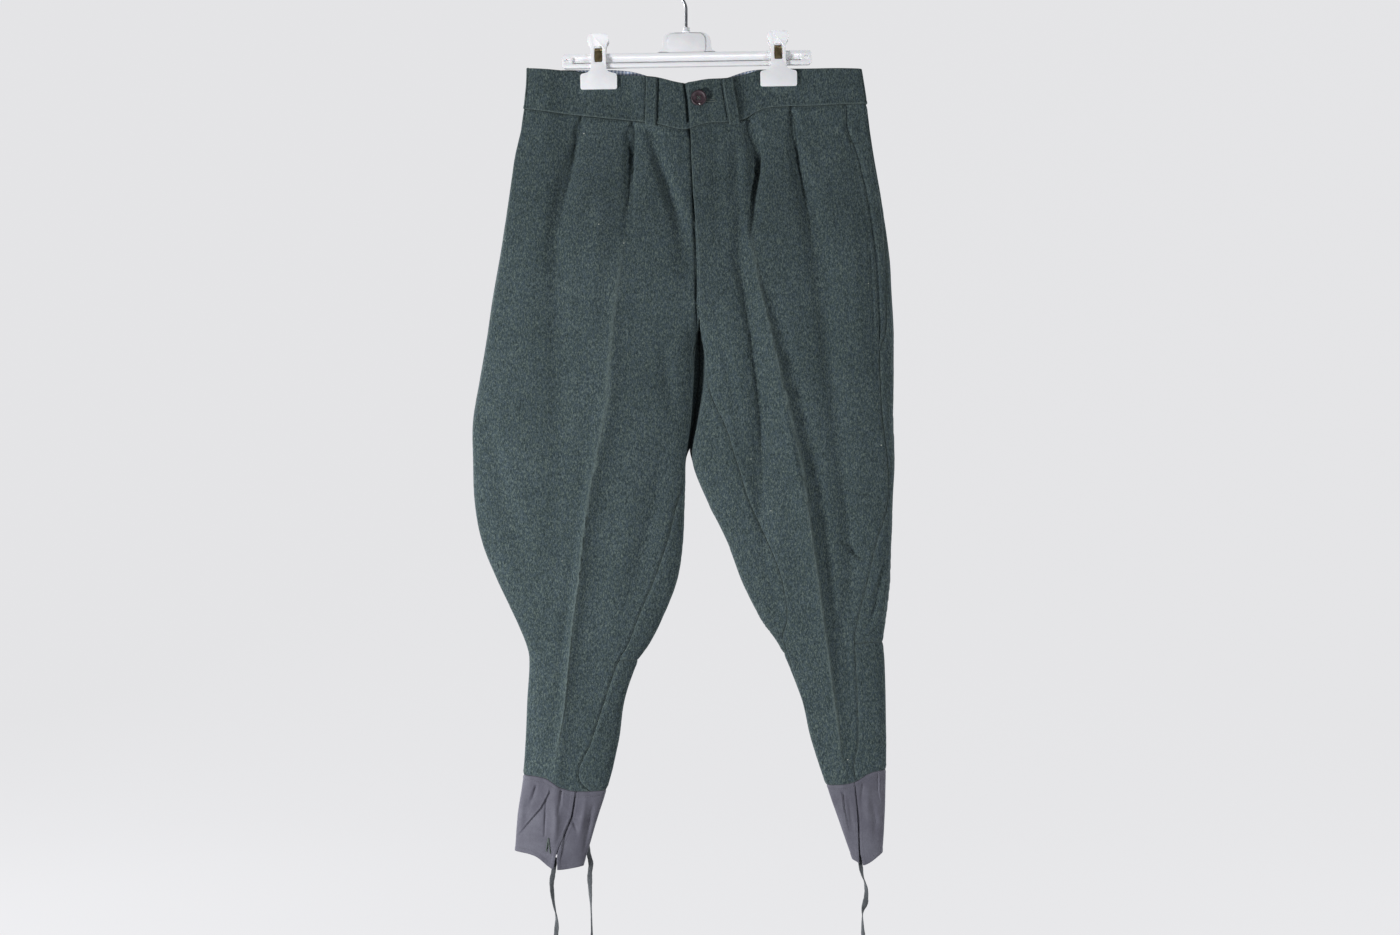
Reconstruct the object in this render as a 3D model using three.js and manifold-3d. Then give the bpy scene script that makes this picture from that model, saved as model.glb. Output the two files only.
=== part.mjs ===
// Uniform riding breeches in felted wool, hung by the waistband from a clip hanger.
// Millimetres. +Z is up and the front faces -Y. The origin is the inner top of the hook,
// where the rail bears. Right and left are the wearer's: the right leg is at minus X.

import * as THREE from 'three';
import { mergeVertices } from 'three/addons/utils/BufferGeometryUtils.js';
import Module from 'manifold-3d';

const wasm = await Module();
wasm.setup();

// Walls and gaps
const woolWall = 2;
const bandWall = 3;
const cuffWall = 1.5;
const liningWall = 0.8;
const loopWall = 1.6;
const seamGap = 0.4;
const waistGap = 1;
const kneeGap = 0.5;
const kneeEase = { level: -866, near: 20, far: 60, gap: 0.2 };
const facingGap = 0.9;
const cuffGap = 0.6;
const bandStep = 0.6;
const cuffStep = 0.8;
const pocketStep = 0.6;
const pleatStart = 14;

// Levels
const forkTop = -412;
const crotchLevel = -462;
const flyLapFade = { top: -365, bottom: -400 };
const flyStepFade = { top: -404, bottom: -436 };
const pocketEnd = -453;
const waistFade = { top: -200, bottom: -350 };

// Widths of the small pieces
const loopWidth = 13;
const loopGap = 0.7;
const loopEnds = { belowEdge: 1, pastSeam: 4 };
const liningGap = 0.95;
const liningEdges = { high: 0.8, low: 24 };
const bandSideInset = 2;
const foldEdge = 3.4;
const buttonSink = 0.6;
const underlapReach = 29;
const flyLap = 8;
const flyStep = { band: 3.7, panel: 2.8 };
const button = { x: 15.9, z: -166.9, radius: 9.9, thick: 3.6, rim: 2.2, holeRadius: 1.1, holeSpread: 2.3 };

// Each leg is a row of closed sections. outer and inner are the edges seen from the front.
// inseam, side and facing say how far in from an edge the seam lies: on the front face where
// positive, on the back face where negative. front and back are depths, round the fullness.
const rightLeg = [
  { z: -120, outer: -202.0, inner: -0.3, inseam: 0, side: 2, facing: -8, front: 12, back: 12, round: 5 },
  { z: -154, outer: -204.0, inner: 2.0, inseam: 0, side: 2, facing: -9, front: 12, back: 12, round: 5 },
  { z: -190, outer: -208.5, inner: 4.8, inseam: 0, side: 4, facing: -10, front: 14, back: 14, round: 4.2 },
  { z: -243, outer: -218.7, inner: 6.7, inseam: 0, side: -1, facing: -15, front: 18, back: 22, round: 3.3 },
  { z: -294, outer: -226.3, inner: 9.5, inseam: 0, side: -7, facing: -21, front: 21, back: 29, round: 2.8 },
  { z: -370, outer: -237.7, inner: 16.0, inseam: 0, side: -9, facing: -22, front: 25, back: 36, round: 2.5 },
  { z: -421, outer: -246.6, inner: 16.0, inseam: 0, side: -10, facing: -22, front: 26, back: 37, round: 2.4 },
  { z: -462, outer: -252.8, inner: 16.4, inseam: 0, side: -10, facing: -20, front: 26, back: 35, round: 2.4 },
  { z: -488, outer: -257.0, inner: 12.6, inseam: 0, side: -10, facing: -10, front: 26, back: 33, round: 2.4 },
  { z: -523, outer: -263.1, inner: 10.5, inseam: 0, side: -10, facing: -10, front: 26, back: 31, round: 2.4 },
  { z: -574, outer: -271.4, inner: 7.4, inseam: 0, side: -10, facing: -10, front: 26, back: 29, round: 2.4 },
  { z: -624, outer: -271.2, inner: 0.4, inseam: 0, side: -10, facing: -10, front: 25, back: 27, round: 2.4 },
  { z: -675, outer: -269.5, inner: -0.9, inseam: 9, side: -10, facing: -10, front: 24, back: 25, round: 2.4 },
  { z: -726, outer: -260.6, inner: -2.8, inseam: 20, side: -10, facing: -10, front: 22, back: 23, round: 2.4 },
  { z: -777, outer: -240.3, inner: -10.4, inseam: 30, side: -9, facing: -9, front: 20, back: 21, round: 2.4 },
  { z: -828, outer: -216.2, inner: -30.7, inseam: 31, side: -8, facing: -8, front: 18, back: 19, round: 2.4 },
  { z: -859, outer: -203.5, inner: -46.6, inseam: 27, side: -8, facing: -8, front: 17, back: 18, round: 2.4 },
  { z: -878, outer: -199.8, inner: -59.9, inseam: 25, side: -8, facing: -8, front: 16, back: 17, round: 2.4 },
  { z: -929, outer: -202.2, inner: -77.7, inseam: 25, side: -8, facing: -8, front: 15, back: 16, round: 2.4 },
  { z: -980, outer: -204.7, inner: -85.3, inseam: 34, side: -8, facing: -8, front: 13.5, back: 14, round: 2.4 },
  { z: -1031, outer: -208.5, inner: -96.8, inseam: 37, side: -8, facing: -8, front: 12, back: 12, round: 2.4 },
  { z: -1075, outer: -214.9, inner: -110.7, inseam: 0, side: 0, facing: 0, front: 11, back: 11, round: 2.4 },
  { z: -1143, outer: -219.4, inner: -130.8, inseam: 0, side: 0, facing: 0, front: 10, back: 10, round: 2.4 },
];

const leftLeg = [
  { z: -120, outer: 221.0, inner: -0.3, inseam: 0, side: 2, facing: 0, front: 12, back: 12, round: 5 },
  { z: -154, outer: 227.1, inner: 2.0, inseam: 0, side: 2, facing: 0, front: 12, back: 12, round: 5 },
  { z: -190, outer: 232.2, inner: 4.8, inseam: 0, side: 29, facing: 1.3, front: 14, back: 14, round: 4.2 },
  { z: -243, outer: 239.8, inner: 6.7, inseam: 0, side: 22, facing: 1.5, front: 18, back: 22, round: 3.3 },
  { z: -294, outer: 248.7, inner: 9.5, inseam: 0, side: 20, facing: 2, front: 21, back: 29, round: 2.8 },
  { z: -370, outer: 258.8, inner: 16.0, inseam: 0, side: 20, facing: 5.4, front: 25, back: 36, round: 2.5 },
  { z: -421, outer: 261.4, inner: 16.0, inseam: 0, side: 19.5, facing: 8, front: 26, back: 37, round: 2.4 },
  { z: -462, outer: 263.6, inner: 17.2, inseam: 0, side: 19.8, facing: 11, front: 26, back: 35, round: 2.4 },
  { z: -488, outer: 264.0, inner: 21.6, inseam: 0, side: 19.6, facing: 19.6, front: 26, back: 33, round: 2.4 },
  { z: -523, outer: 263.9, inner: 22.0, inseam: 4, side: 18.5, facing: 18.5, front: 26, back: 31, round: 2.4 },
  { z: -574, outer: 263.3, inner: 13.7, inseam: 32, side: 15, facing: 15, front: 26, back: 29, round: 2.4 },
  { z: -624, outer: 264.8, inner: 6.9, inseam: 56, side: 10, facing: 10, front: 25, back: 27, round: 2.4 },
  { z: -675, outer: 262.6, inner: 25.1, inseam: 54, side: 7, facing: 7, front: 24, back: 25, round: 2.4 },
  { z: -726, outer: 261.4, inner: 50.5, inseam: 51, side: 20, facing: 20, front: 22, back: 23, round: 2.4 },
  { z: -777, outer: 259.6, inner: 69.6, inseam: 51, side: 30, facing: 30, front: 20, back: 21, round: 2.4 },
  { z: -828, outer: 253.7, inner: 95.0, inseam: 32, side: 37, facing: 37, front: 18, back: 19, round: 2.4 },
  { z: -853, outer: 250.6, inner: 113.0, inseam: 9, side: 38, facing: 38, front: 17, back: 18, round: 2.4 },
  { z: -878, outer: 252.2, inner: 126.7, inseam: 3, side: 38, facing: 38, front: 16, back: 17, round: 2.4 },
  { z: -929, outer: 253.7, inner: 145.8, inseam: 0, side: 37, facing: 37, front: 15, back: 16, round: 2.4 },
  { z: -980, outer: 254.8, inner: 158.5, inseam: -2, side: 37, facing: 37, front: 13.5, back: 14, round: 2.4 },
  { z: -1031, outer: 254.1, inner: 175.0, inseam: -2, side: 36, facing: 36, front: 12, back: 12, round: 2.4 },
  { z: -1075, outer: 252.9, inner: 190.9, inseam: 0, side: 0, facing: 0, front: 11, back: 11, round: 2.4 },
  { z: -1143, outer: 248.4, inner: 214.0, inseam: 0, side: 0, facing: 0, front: 10, back: 10, round: 2.4 },
];

// Along the waist: the band's upper edges in front and behind, and the seams under it
const waistEdges = [
  { x: -208, front: -127.1, back: -126.8, seam: -178.4, backSeam: -178.4 },
  { x: -168, front: -129.7, back: -128.5, seam: -183.7, backSeam: -181.5 },
  { x: -135, front: -132.0, back: -129.1, seam: -187.5, backSeam: -184.5 },
  { x: -100, front: -135.5, back: -128.6, seam: -191.3, backSeam: -187.0 },
  { x: -72, front: -137.0, back: -130.5, seam: -194.0, backSeam: -189.0 },
  { x: -52, front: -138.0, back: -134.8, seam: -196.4, backSeam: -190.5 },
  { x: -37, front: -139.6, back: -140.4, seam: -198.4, backSeam: -191.5 },
  { x: -15, front: -145.0, back: -147.2, seam: -204.0, backSeam: -193.0 },
  { x: 0, front: -146.9, back: -149.6, seam: -205.3, backSeam: -193.5 },
  { x: 27, front: -142.4, back: -144.5, seam: -197.9, backSeam: -192.5 },
  { x: 53, front: -140.4, back: -137.4, seam: -196.2, backSeam: -190.5 },
  { x: 73, front: -136.1, back: -131.6, seam: -192.6, backSeam: -188.0 },
  { x: 90, front: -130.4, back: -128.5, seam: -182.4, backSeam: -185.5 },
  { x: 108, front: -128.8, back: -128.2, seam: -176.9, backSeam: -182.5 },
  { x: 164, front: -127.8, back: -127.8, seam: -174.8, backSeam: -176.0 },
  { x: 232, front: -128.2, back: -128.2, seam: -172.3, backSeam: -172.3 },
];

// Depth of the waist, which the two clips pinch and which opens between and beside them
const waistDepths = [
  { x: -210, front: 7, back: 8 },
  { x: -180, front: 8, back: 10 },
  { x: -147, front: 4.2, back: 4.2 },
  { x: -77, front: 4.2, back: 4.2 },
  { x: -44, front: 8.5, back: 10 },
  { x: 5, front: 12, back: 16 },
  { x: 50, front: 9, back: 10 },
  { x: 81, front: 4.2, back: 4.2 },
  { x: 151, front: 4.2, back: 4.2 },
  { x: 196, front: 8, back: 10 },
  { x: 232, front: 7, back: 8 },
];

// Where the wool ends: the knee seam behind, the cuff seam, and the hem in front and behind
const kneeSeams = {
  right: [{ x: -210, z: -874 }, { x: -50, z: -879 }],
  left: [{ x: 120, z: -870.8 }, { x: 215, z: -856 }, { x: 252, z: -855 }],
};
const cuffSeams = {
  right: [
    { x: -210, front: -1023.0, back: -1023.0 },
    { x: -179, front: -1027.0, back: -1029.0 },
    { x: -160, front: -1038.0, back: -1032.2 },
    { x: -141, front: -1043.5, back: -1035.6 },
    { x: -97, front: -1043.5, back: -1043.5 },
  ],
  left: [
    { x: 175, front: -1037.2, back: -1037.2 },
    { x: 212, front: -1032.1, back: -1028.2 },
    { x: 233, front: -1020.6, back: -1022.8 },
    { x: 255, front: -1016.8, back: -1016.8 },
  ],
};
const hems = {
  right: [
    { x: -219, front: -1119.7, back: -1119.7 },
    { x: -191, front: -1126.0, back: -1123.0 },
    { x: -168, front: -1142.0, back: -1127.0 },
    { x: -130, front: -1139.5, back: -1135.0 },
    { x: -122, front: -1138.0, back: -1138.0 },
  ],
  left: [
    { x: 206, front: -1130.0, back: -1130.0 },
    { x: 214, front: -1132.6, back: -1128.0 },
    { x: 226, front: -1137.0, back: -1126.0 },
    { x: 250, front: -1122.0, back: -1122.0 },
  ],
};

// The slit in each cuff: its place seen from the front and how far it stands open
const cuffSlits = {
  right: [
    { z: -1023, x: -139.0, open: 0.4 },
    { z: -1054, x: -141.6, open: 0.4 },
    { z: -1080, x: -146.3, open: 0.5 },
    { z: -1122, x: -163.0, open: 1.2 },
    { z: -1142, x: -165.4, open: 5.0 },
  ],
  left: [
    { z: -1016, x: 212.0, open: 0.4 },
    { z: -1075, x: 216.9, open: 0.4 },
    { z: -1115, x: 218.8, open: 1.2 },
    { z: -1140, x: 221.5, open: 5.0 },
  ],
};

// Folds of the fronts. Each row gives the fold's place, its height, which is negative for a
// valley and positive for a pressed ridge, and its half width.
const foldsRight = {
  outerPleat: [
    { z: -170, x: -131.5, height: -1.6, width: 3.5 },
    { z: -230, x: -141.2, height: -3.0, width: 5 },
    { z: -275, x: -152.7, height: -2.6, width: 9 },
    { z: -340, x: -163.5, height: -2.2, width: 14 },
    { z: -421, x: -160.3, height: -1.6, width: 16 },
    { z: -700, x: -160.3, height: -0.8, width: 18 },
    { z: -1050, x: -182.0, height: 0, width: 18 },
  ],
  crease: [
    { z: -185, x: -70.0, height: -4.2, width: 3.5 },
    { z: -256, x: -72.6, height: -3.6, width: 4 },
    { z: -320, x: -72.6, height: -1.4, width: 7 },
    { z: -402, x: -87.9, height: 1.6, width: 11 },
    { z: -561, x: -98.0, height: 3, width: 12 },
    { z: -688, x: -126.0, height: 4, width: 11 },
    { z: -783, x: -136.1, height: 4, width: 10 },
    { z: -878, x: -147.6, height: 3.4, width: 9 },
    { z: -974, x: -157.7, height: 2.4, width: 9 },
    { z: -1050, x: -166.0, height: 1.4, width: 9 },
  ],
  flyPleat: [
    { z: -190, x: -49.0, height: -1.6, width: 7 },
    { z: -243, x: -34.5, height: -3.2, width: 8 },
    { z: -284, x: -19.3, height: -3.4, width: 8 },
    { z: -344, x: -9.0, height: -2.6, width: 9 },
    { z: -421, x: -8.0, height: -1, width: 12 },
    { z: -560, x: -25.0, height: 0, width: 14 },
    { z: -1050, x: -135.0, height: 0, width: 14 },
  ],
};
const foldsLeft = {
  flyValley: [
    { z: -190, x: 62.0, height: 0, width: 8 },
    { z: -275, x: 65.8, height: -2.4, width: 8 },
    { z: -370, x: 68.3, height: -4, width: 9 },
    { z: -434, x: 77.2, height: -4, width: 10 },
    { z: -561, x: 92.5, height: -4.4, width: 11 },
    { z: -688, x: 94.5, height: -4, width: 11 },
    { z: -783, x: 108.0, height: -2.6, width: 11 },
    { z: -853, x: 130.0, height: -1, width: 10 },
    { z: -1050, x: 184.0, height: 0, width: 8 },
  ],
  crease: [
    { z: -185, x: 72.5, height: -3.8, width: 3.5 },
    { z: -238, x: 87.9, height: -4.4, width: 4.5 },
    { z: -307, x: 84.8, height: -3, width: 6 },
    { z: -370, x: 84.6, height: 0.6, width: 7 },
    { z: -434, x: 98.0, height: 2.6, width: 9 },
    { z: -561, x: 124.2, height: 4, width: 12 },
    { z: -688, x: 149.6, height: 5, width: 12 },
    { z: -815, x: 171.2, height: 4.4, width: 10 },
    { z: -942, x: 190.2, height: 3, width: 9 },
    { z: -1050, x: 199.5, height: 1.6, width: 8 },
  ],
  sidePleat: [
    { z: -168, x: 133.1, height: -1.6, width: 3.5 },
    { z: -243, x: 138.2, height: -3.4, width: 5 },
    { z: -307, x: 149.6, height: -3, width: 9 },
    { z: -434, x: 169.9, height: -2.6, width: 12 },
    { z: -624, x: 195.3, height: -3, width: 12 },
    { z: -726, x: 208.0, height: -3.4, width: 10 },
    { z: -802, x: 209.0, height: -1.6, width: 9 },
    { z: -878, x: 207.0, height: 0, width: 8 },
    { z: -1050, x: 206.0, height: 0, width: 8 },
  ],
};
const foldsBack = {
  right: {
    crease: [
      { z: -185, x: -95, height: -2, width: 8 },
      { z: -300, x: -92, height: 0, width: 10 },
      { z: -561, x: -112, height: 3, width: 12 },
      { z: -783, x: -135, height: 3.4, width: 11 },
      { z: -1050, x: -156, height: 1.4, width: 9 },
    ],
  },
  left: {
    crease: [
      { z: -185, x: 105, height: -2, width: 8 },
      { z: -300, x: 106, height: 0, width: 10 },
      { z: -561, x: 138, height: 3, width: 12 },
      { z: -783, x: 164, height: 3.4, width: 11 },
      { z: -1050, x: 206, height: 1.4, width: 9 },
    ],
  },
};

// Heights of the rows that the panels share, closer at the pleats and the fork
const rowHeights = [
  -186, -200, -220, -246, -276, -308, -342, -376, -404, -424, -440, -453, -461, -469, -486, -514,
  -548, -584, -620, -656, -692, -728, -763, -797, -828, -853, -876, -908, -942, -978, -1010, -1032,
];
const kneeHeight = -876;
const shear = { top: 110, bottom: 60 };

// Smooth and eased reading of the tables
function spot(rows, at, by) {
  const falling = rows[0][by] > rows[rows.length - 1][by];
  const side = falling ? -1 : 1;
  let i = 0;
  while (i < rows.length - 2 && side * at > side * rows[i + 1][by]) i += 1;
  const span = rows[i + 1][by] - rows[i][by];
  const share = Math.min(Math.max((at - rows[i][by]) / span, 0), 1);
  return { i, share, span };
}

function curve(rows, key, at, by = 'z') {
  const { i, share, span } = spot(rows, at, by);
  const slope = (j) => {
    const before = rows[Math.max(j - 1, 0)];
    const after = rows[Math.min(j + 1, rows.length - 1)];
    return (after[key] - before[key]) / (after[by] - before[by]);
  };
  const t2 = share * share;
  const t3 = t2 * share;
  return (2 * t3 - 3 * t2 + 1) * rows[i][key] + (t3 - 2 * t2 + share) * span * slope(i)
    + (3 * t2 - 2 * t3) * rows[i + 1][key] + (t3 - t2) * span * slope(i + 1);
}

const ease = (t) => t * t * (3 - 2 * t);

function eased(rows, key, at, by) {
  const { i, share } = spot(rows, at, by);
  return rows[i][key] + (rows[i + 1][key] - rows[i][key]) * ease(share);
}

function fade(at, start, end) {
  return ease(Math.min(Math.max((at - start) / (end - start), 0), 1));
}

// One leg with what shapes it
const legs = {
  right: {
    name: 'right', rows: rightLeg, way: 1, front: foldsRight, back: foldsBack.right,
    frontCounts: [3, 1, 1, 1, 1, 1, 4, 1, 1, 5], backCounts: { upper: [7, 5], lower: [7, 4] },
  },
  left: {
    name: 'left', rows: leftLeg, way: -1, front: foldsLeft, back: foldsBack.left,
    frontCounts: [4, 1, 1, 2, 1, 1, 3, 1, 1, 4], backCounts: { upper: [7, 7], lower: [4, 7] },
  },
};

// How far the fork has closed the section: 0 where the legs are one, 1 where each is whole
function forkShare(z) {
  const t = Math.min(Math.max((forkTop - z) / (forkTop - crotchLevel), 0), 1);
  return 1 - Math.sqrt(1 - t * t);
}

// reach says how far a piece runs on past the inner edge, under its neighbour
const noReach = () => 0;

function section(leg, z, reach) {
  const inner = curve(leg.rows, 'inner', z) + reach(z);
  const outer = curve(leg.rows, 'outer', z);
  return { middle: (inner + outer) / 2, half: Math.abs(inner - outer) / 2, round: curve(leg.rows, 'round', z) };
}

// The angle round a section: 0 at the inner edge, a quarter turn in front, a half turn at
// the outer edge, and negative behind
function angleOfShare(share, round) {
  const u = Math.min(Math.max(share, -1), 1);
  return Math.atan2((1 - Math.abs(u) ** round) ** (1 / round), u);
}

function angleAtX(leg, z, x, reach = noReach) {
  const { middle, half, round } = section(leg, z, reach);
  return angleOfShare((leg.way * (x - middle)) / half, round);
}

function angleAtInset(leg, z, inset, edge) {
  const { half, round } = section(leg, z, noReach);
  const share = 1 - Math.abs(inset) / half;
  const angle = angleOfShare(edge === 'inner' ? share : -share, round);
  if (inset >= 0) return angle;
  return edge === 'inner' ? -angle : 2 * Math.PI - angle;
}

function foldHeight(folds, x, z) {
  return Object.values(folds).reduce((sum, rows) => {
    const across = (x - curve(rows, 'x', z)) / eased(rows, 'width', z, 'z');
    return sum + eased(rows, 'height', z, 'z') / (1 + across * across);
  }, 0);
}

// The right front lies this much deeper where the left one laps over it
function flyRecess(x, z, centre) {
  const step = flyStep.band + (flyStep.panel - flyStep.band) * fade(z, -206, -236);
  const isLapped = 1 - fade(z, flyStepFade.top, flyStepFade.bottom);
  return step * isLapped * fade(x, centre - 30, centre - 3);
}

const seamAt = (x, isFront) => curve(waistEdges, isFront ? 'seam' : 'backSeam', x, 'x');

// The point of the cloth's outer face at a height and an angle
function clothPoint(leg, z, angle, reach = noReach) {
  const { middle, half, round } = section(leg, z, reach);
  const c = Math.cos(angle);
  const s = Math.sin(angle);
  const norm = (Math.abs(c) ** round + Math.abs(s) ** round) ** (1 / round);
  const u = c / norm;
  const v = s / norm;
  const x = middle + leg.way * half * u;
  const isFront = v >= 0;
  const key = isFront ? 'front' : 'back';
  const waist = eased(waistDepths, key, x, 'x');
  const body = curve(leg.rows, key, z);
  const depth = waist + (body - waist) * fade(z, waistFade.top, waistFade.bottom);
  const fullness = u > 0 ? 1 - forkShare(z) * (1 - Math.abs(v)) : Math.abs(v);
  const belowBand = fade(z, seamAt(x, isFront), seamAt(x, isFront) - pleatStart);
  const folds = belowBand * foldHeight(leg[key], x, z) * Math.abs(v) ** 1.5;
  const recess = leg.name === 'right' && isFront ? flyRecess(x, z, curve(leg.rows, 'inner', z)) : 0;
  const y = (isFront ? -1 : 1) * (depth * fullness + folds - recess);
  return new THREE.Vector3(x, y, z);
}

function clothNormal(leg, z, angle, reach) {
  const dAngle = 0.004;
  const dz = 1.5;
  const round = clothPoint(leg, z, angle + dAngle, reach).sub(clothPoint(leg, z, angle - dAngle, reach));
  const up = clothPoint(leg, z + dz, angle, reach).sub(clothPoint(leg, z - dz, angle, reach));
  return round.cross(up).multiplyScalar(-leg.way).normalize();
}

// The angle that lies a short way along the cloth from another. The start is taken just to
// the side of the step, as the front and the back face part at the inner edge.
function stepAlong(leg, z, angle, distance, reach = noReach) {
  const start = clothPoint(leg, z, angle + Math.sign(distance) * 1e-6, reach);
  let near = 0;
  let far = Math.sign(distance) * 0.6;
  for (let i = 0; i < 24; i += 1) {
    const half = (near + far) / 2;
    const isShort = clothPoint(leg, z, angle + half, reach).distanceTo(start) < Math.abs(distance);
    if (isShort) near = half;
    else far = half;
  }
  return angle + far;
}

// Columns of a panel: each interval between two lines is split evenly by angle
function columnsBetween(lines, counts) {
  const columns = [lines[0]];
  counts.forEach((count, i) => {
    for (let j = 1; j <= count; j += 1) {
      const share = j / count;
      columns.push((z) => lines[i](z) * (1 - share) + lines[i + 1](z) * share);
    }
  });
  return columns;
}

function signedVolume(points, faces) {
  return faces.reduce((sum, [a, b, c]) => {
    const normal = new THREE.Vector3().crossVectors(points[b], points[c]);
    return sum + points[a].dot(normal);
  }, 0);
}

function solidFrom(points, faces) {
  const isInsideOut = signedVolume(points, faces) < 0;
  const geometry = new THREE.BufferGeometry();
  geometry.setAttribute('position', new THREE.Float32BufferAttribute(points.flatMap((p) => p.toArray()), 3));
  geometry.setIndex(faces.flatMap(([a, b, c]) => (isInsideOut ? [a, c, b] : [a, b, c])));
  geometry.computeVertexNormals();
  return geometry;
}

// A closed wall between an outer and an inner grid of points
function wallFrom(outer, inner) {
  const rows = outer.length;
  const cols = outer[0].length;
  const points = [...outer.flat(), ...inner.flat()];
  const at = (layer, r, c) => layer * rows * cols + r * cols + c;
  const faces = [];
  const quad = (a, b, c, d) => faces.push([a, b, c], [a, c, d]);
  for (let r = 0; r < rows - 1; r += 1) {
    for (let c = 0; c < cols - 1; c += 1) {
      quad(at(0, r, c), at(0, r, c + 1), at(0, r + 1, c + 1), at(0, r + 1, c));
      quad(at(1, r, c), at(1, r + 1, c), at(1, r + 1, c + 1), at(1, r, c + 1));
    }
  }
  for (let r = 0; r < rows - 1; r += 1) {
    quad(at(0, r, 0), at(0, r + 1, 0), at(1, r + 1, 0), at(1, r, 0));
    quad(at(0, r, cols - 1), at(1, r, cols - 1), at(1, r + 1, cols - 1), at(0, r + 1, cols - 1));
  }
  for (let c = 0; c < cols - 1; c += 1) {
    quad(at(0, 0, c), at(1, 0, c), at(1, 0, c + 1), at(0, 0, c + 1));
    quad(at(0, rows - 1, c), at(0, rows - 1, c + 1), at(1, rows - 1, c + 1), at(1, rows - 1, c));
  }
  return solidFrom(points, faces);
}

// Rows that run level but bend to meet a slanted line at the top and another at the bottom
function rowsThrough(heights, top, bottom) {
  const first = heights[0];
  const last = heights[heights.length - 1];
  return heights.map((height) => {
    const topPull = 1 - fade(height, first, first - shear.top);
    const bottomPull = fade(height, last + shear.bottom, last);
    return (x, angle) => height + topPull * (top(x, angle) - first) + bottomPull * (bottom(x, angle) - last);
  });
}

// Rows spread evenly from a top line to a bottom line
function rowsBetween(count, top, bottom) {
  return Array.from({ length: count + 1 }, (_, i) => {
    const share = i / count;
    return (x, angle) => top(x, angle) * (1 - share) + bottom(x, angle) * share;
  });
}

// A panel of cloth: columns give an angle by height, rows give a height by place across,
// and lift moves the whole wall out from the cloth's face
function panel(leg, { columns, rows, wall, lift = 0, reach = noReach }) {
  const outer = [];
  const inner = [];
  rows.forEach((row) => {
    const outerRow = [];
    const innerRow = [];
    columns.forEach((column) => {
      let z = row(0, 1);
      let angle = column(z);
      for (let i = 0; i < 5; i += 1) {
        z = row(clothPoint(leg, z, angle, reach).x, angle);
        angle = column(z);
      }
      const point = clothPoint(leg, z, angle, reach);
      const normal = clothNormal(leg, z, angle, reach);
      outerRow.push(point.clone().addScaledVector(normal, lift));
      innerRow.push(point.clone().addScaledVector(normal, lift - wall));
    });
    outer.push(outerRow);
    inner.push(innerRow);
  });
  return wallFrom(outer, inner);
}

const isFrontAngle = (angle) => {
  const turn = ((angle % (2 * Math.PI)) + 2 * Math.PI) % (2 * Math.PI);
  return turn <= Math.PI;
};
const halfGap = seamGap / 2;
const halfSeam = (z) => halfGap + kneeEase.gap * (1 - fade(Math.abs(z - kneeEase.level), kneeEase.near, kneeEase.far));
const underBand = (isFront) => (x) => seamAt(x, isFront) - waistGap;
const flyReach = (z) => flyLap * (1 - fade(z, flyLapFade.top, flyLapFade.bottom));
const faceOf = (angle) => (isFrontAngle(angle) ? 'front' : 'back');
const cuffSeam = (leg) => (x, angle) => curve(cuffSeams[leg.name], faceOf(angle), x, 'x');
const kneeSeam = (leg) => (x) => curve(kneeSeams[leg.name], 'z', x, 'x');
const heightsFrom = (high, low) => rowHeights.filter((z) => z <= high && z >= low);

// Seams as lines of angles. The inseam runs up into the centre seam at the fork.
Object.values(legs).forEach((leg) => {
  leg.seams = leg.rows.map((row) => ({
    z: row.z,
    inseam: angleAtInset(leg, row.z, row.inseam, 'inner'),
    side: angleAtInset(leg, row.z, row.side, 'outer'),
    facing: angleAtInset(leg, row.z, row.facing, 'outer'),
  }));
});
const inseamAngle = (leg) => (z) => curve(leg.seams, 'inseam', z);
const sideAngle = (leg) => (z) => curve(leg.seams, 'side', z);
const facingAngle = (leg) => (z) => Math.max(curve(leg.seams, 'facing', z), sideAngle(leg)(z));
const lineAngle = (leg, rows) => (z) => angleAtX(leg, z, curve(rows, 'x', z));
const beside = (leg, line, distance) => (z) => stepAlong(leg, z, line(z), distance);
const seamEdge = (leg, line, side) => (z) => stepAlong(leg, z, line(z), side * halfSeam(z));

// Wool panels. The lines of the front's folds are kept clear of the inseam.
function frontPanel(leg) {
  const [first, second, third] = Object.values(leg.front).map((rows) => lineAngle(leg, rows));
  const order = leg.name === 'right' ? [third, second, first] : [first, second, third];
  const reach = leg.name === 'right' ? flyReach : noReach;
  const start = (z) => (z > crotchLevel ? 0 : inseamAngle(leg)(z));
  const clear = (line, steps) => (z) => Math.max(line(z), stepAlong(leg, z, start(z), steps * foldEdge, reach));
  const lines = [
    (z) => stepAlong(leg, z, start(z), halfSeam(z), reach),
    clear(beside(leg, order[0], -foldEdge), 1),
    clear(order[0], 2),
    clear(beside(leg, order[0], foldEdge), 3),
    clear(beside(leg, order[1], -foldEdge), 4),
    order[1],
    beside(leg, order[1], foldEdge),
    beside(leg, order[2], -foldEdge),
    order[2],
    beside(leg, order[2], foldEdge),
    seamEdge(leg, sideAngle(leg), -1),
  ];
  return panel(leg, {
    columns: columnsBetween(lines, leg.frontCounts),
    rows: rowsThrough(rowHeights, underBand(true), (x, angle) => cuffSeam(leg)(x, angle) + cuffGap),
    wall: woolWall,
    lift: -bandStep,
    reach,
  });
}

function facingPanel(leg) {
  const lines = [beside(leg, sideAngle(leg), facingGap), beside(leg, facingAngle(leg), -facingGap)];
  return panel(leg, {
    columns: columnsBetween(lines, [2]),
    rows: rowsThrough(heightsFrom(0, pocketEnd), underBand(true), () => pocketEnd),
    wall: woolWall,
    lift: -bandStep - pocketStep,
  });
}

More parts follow.
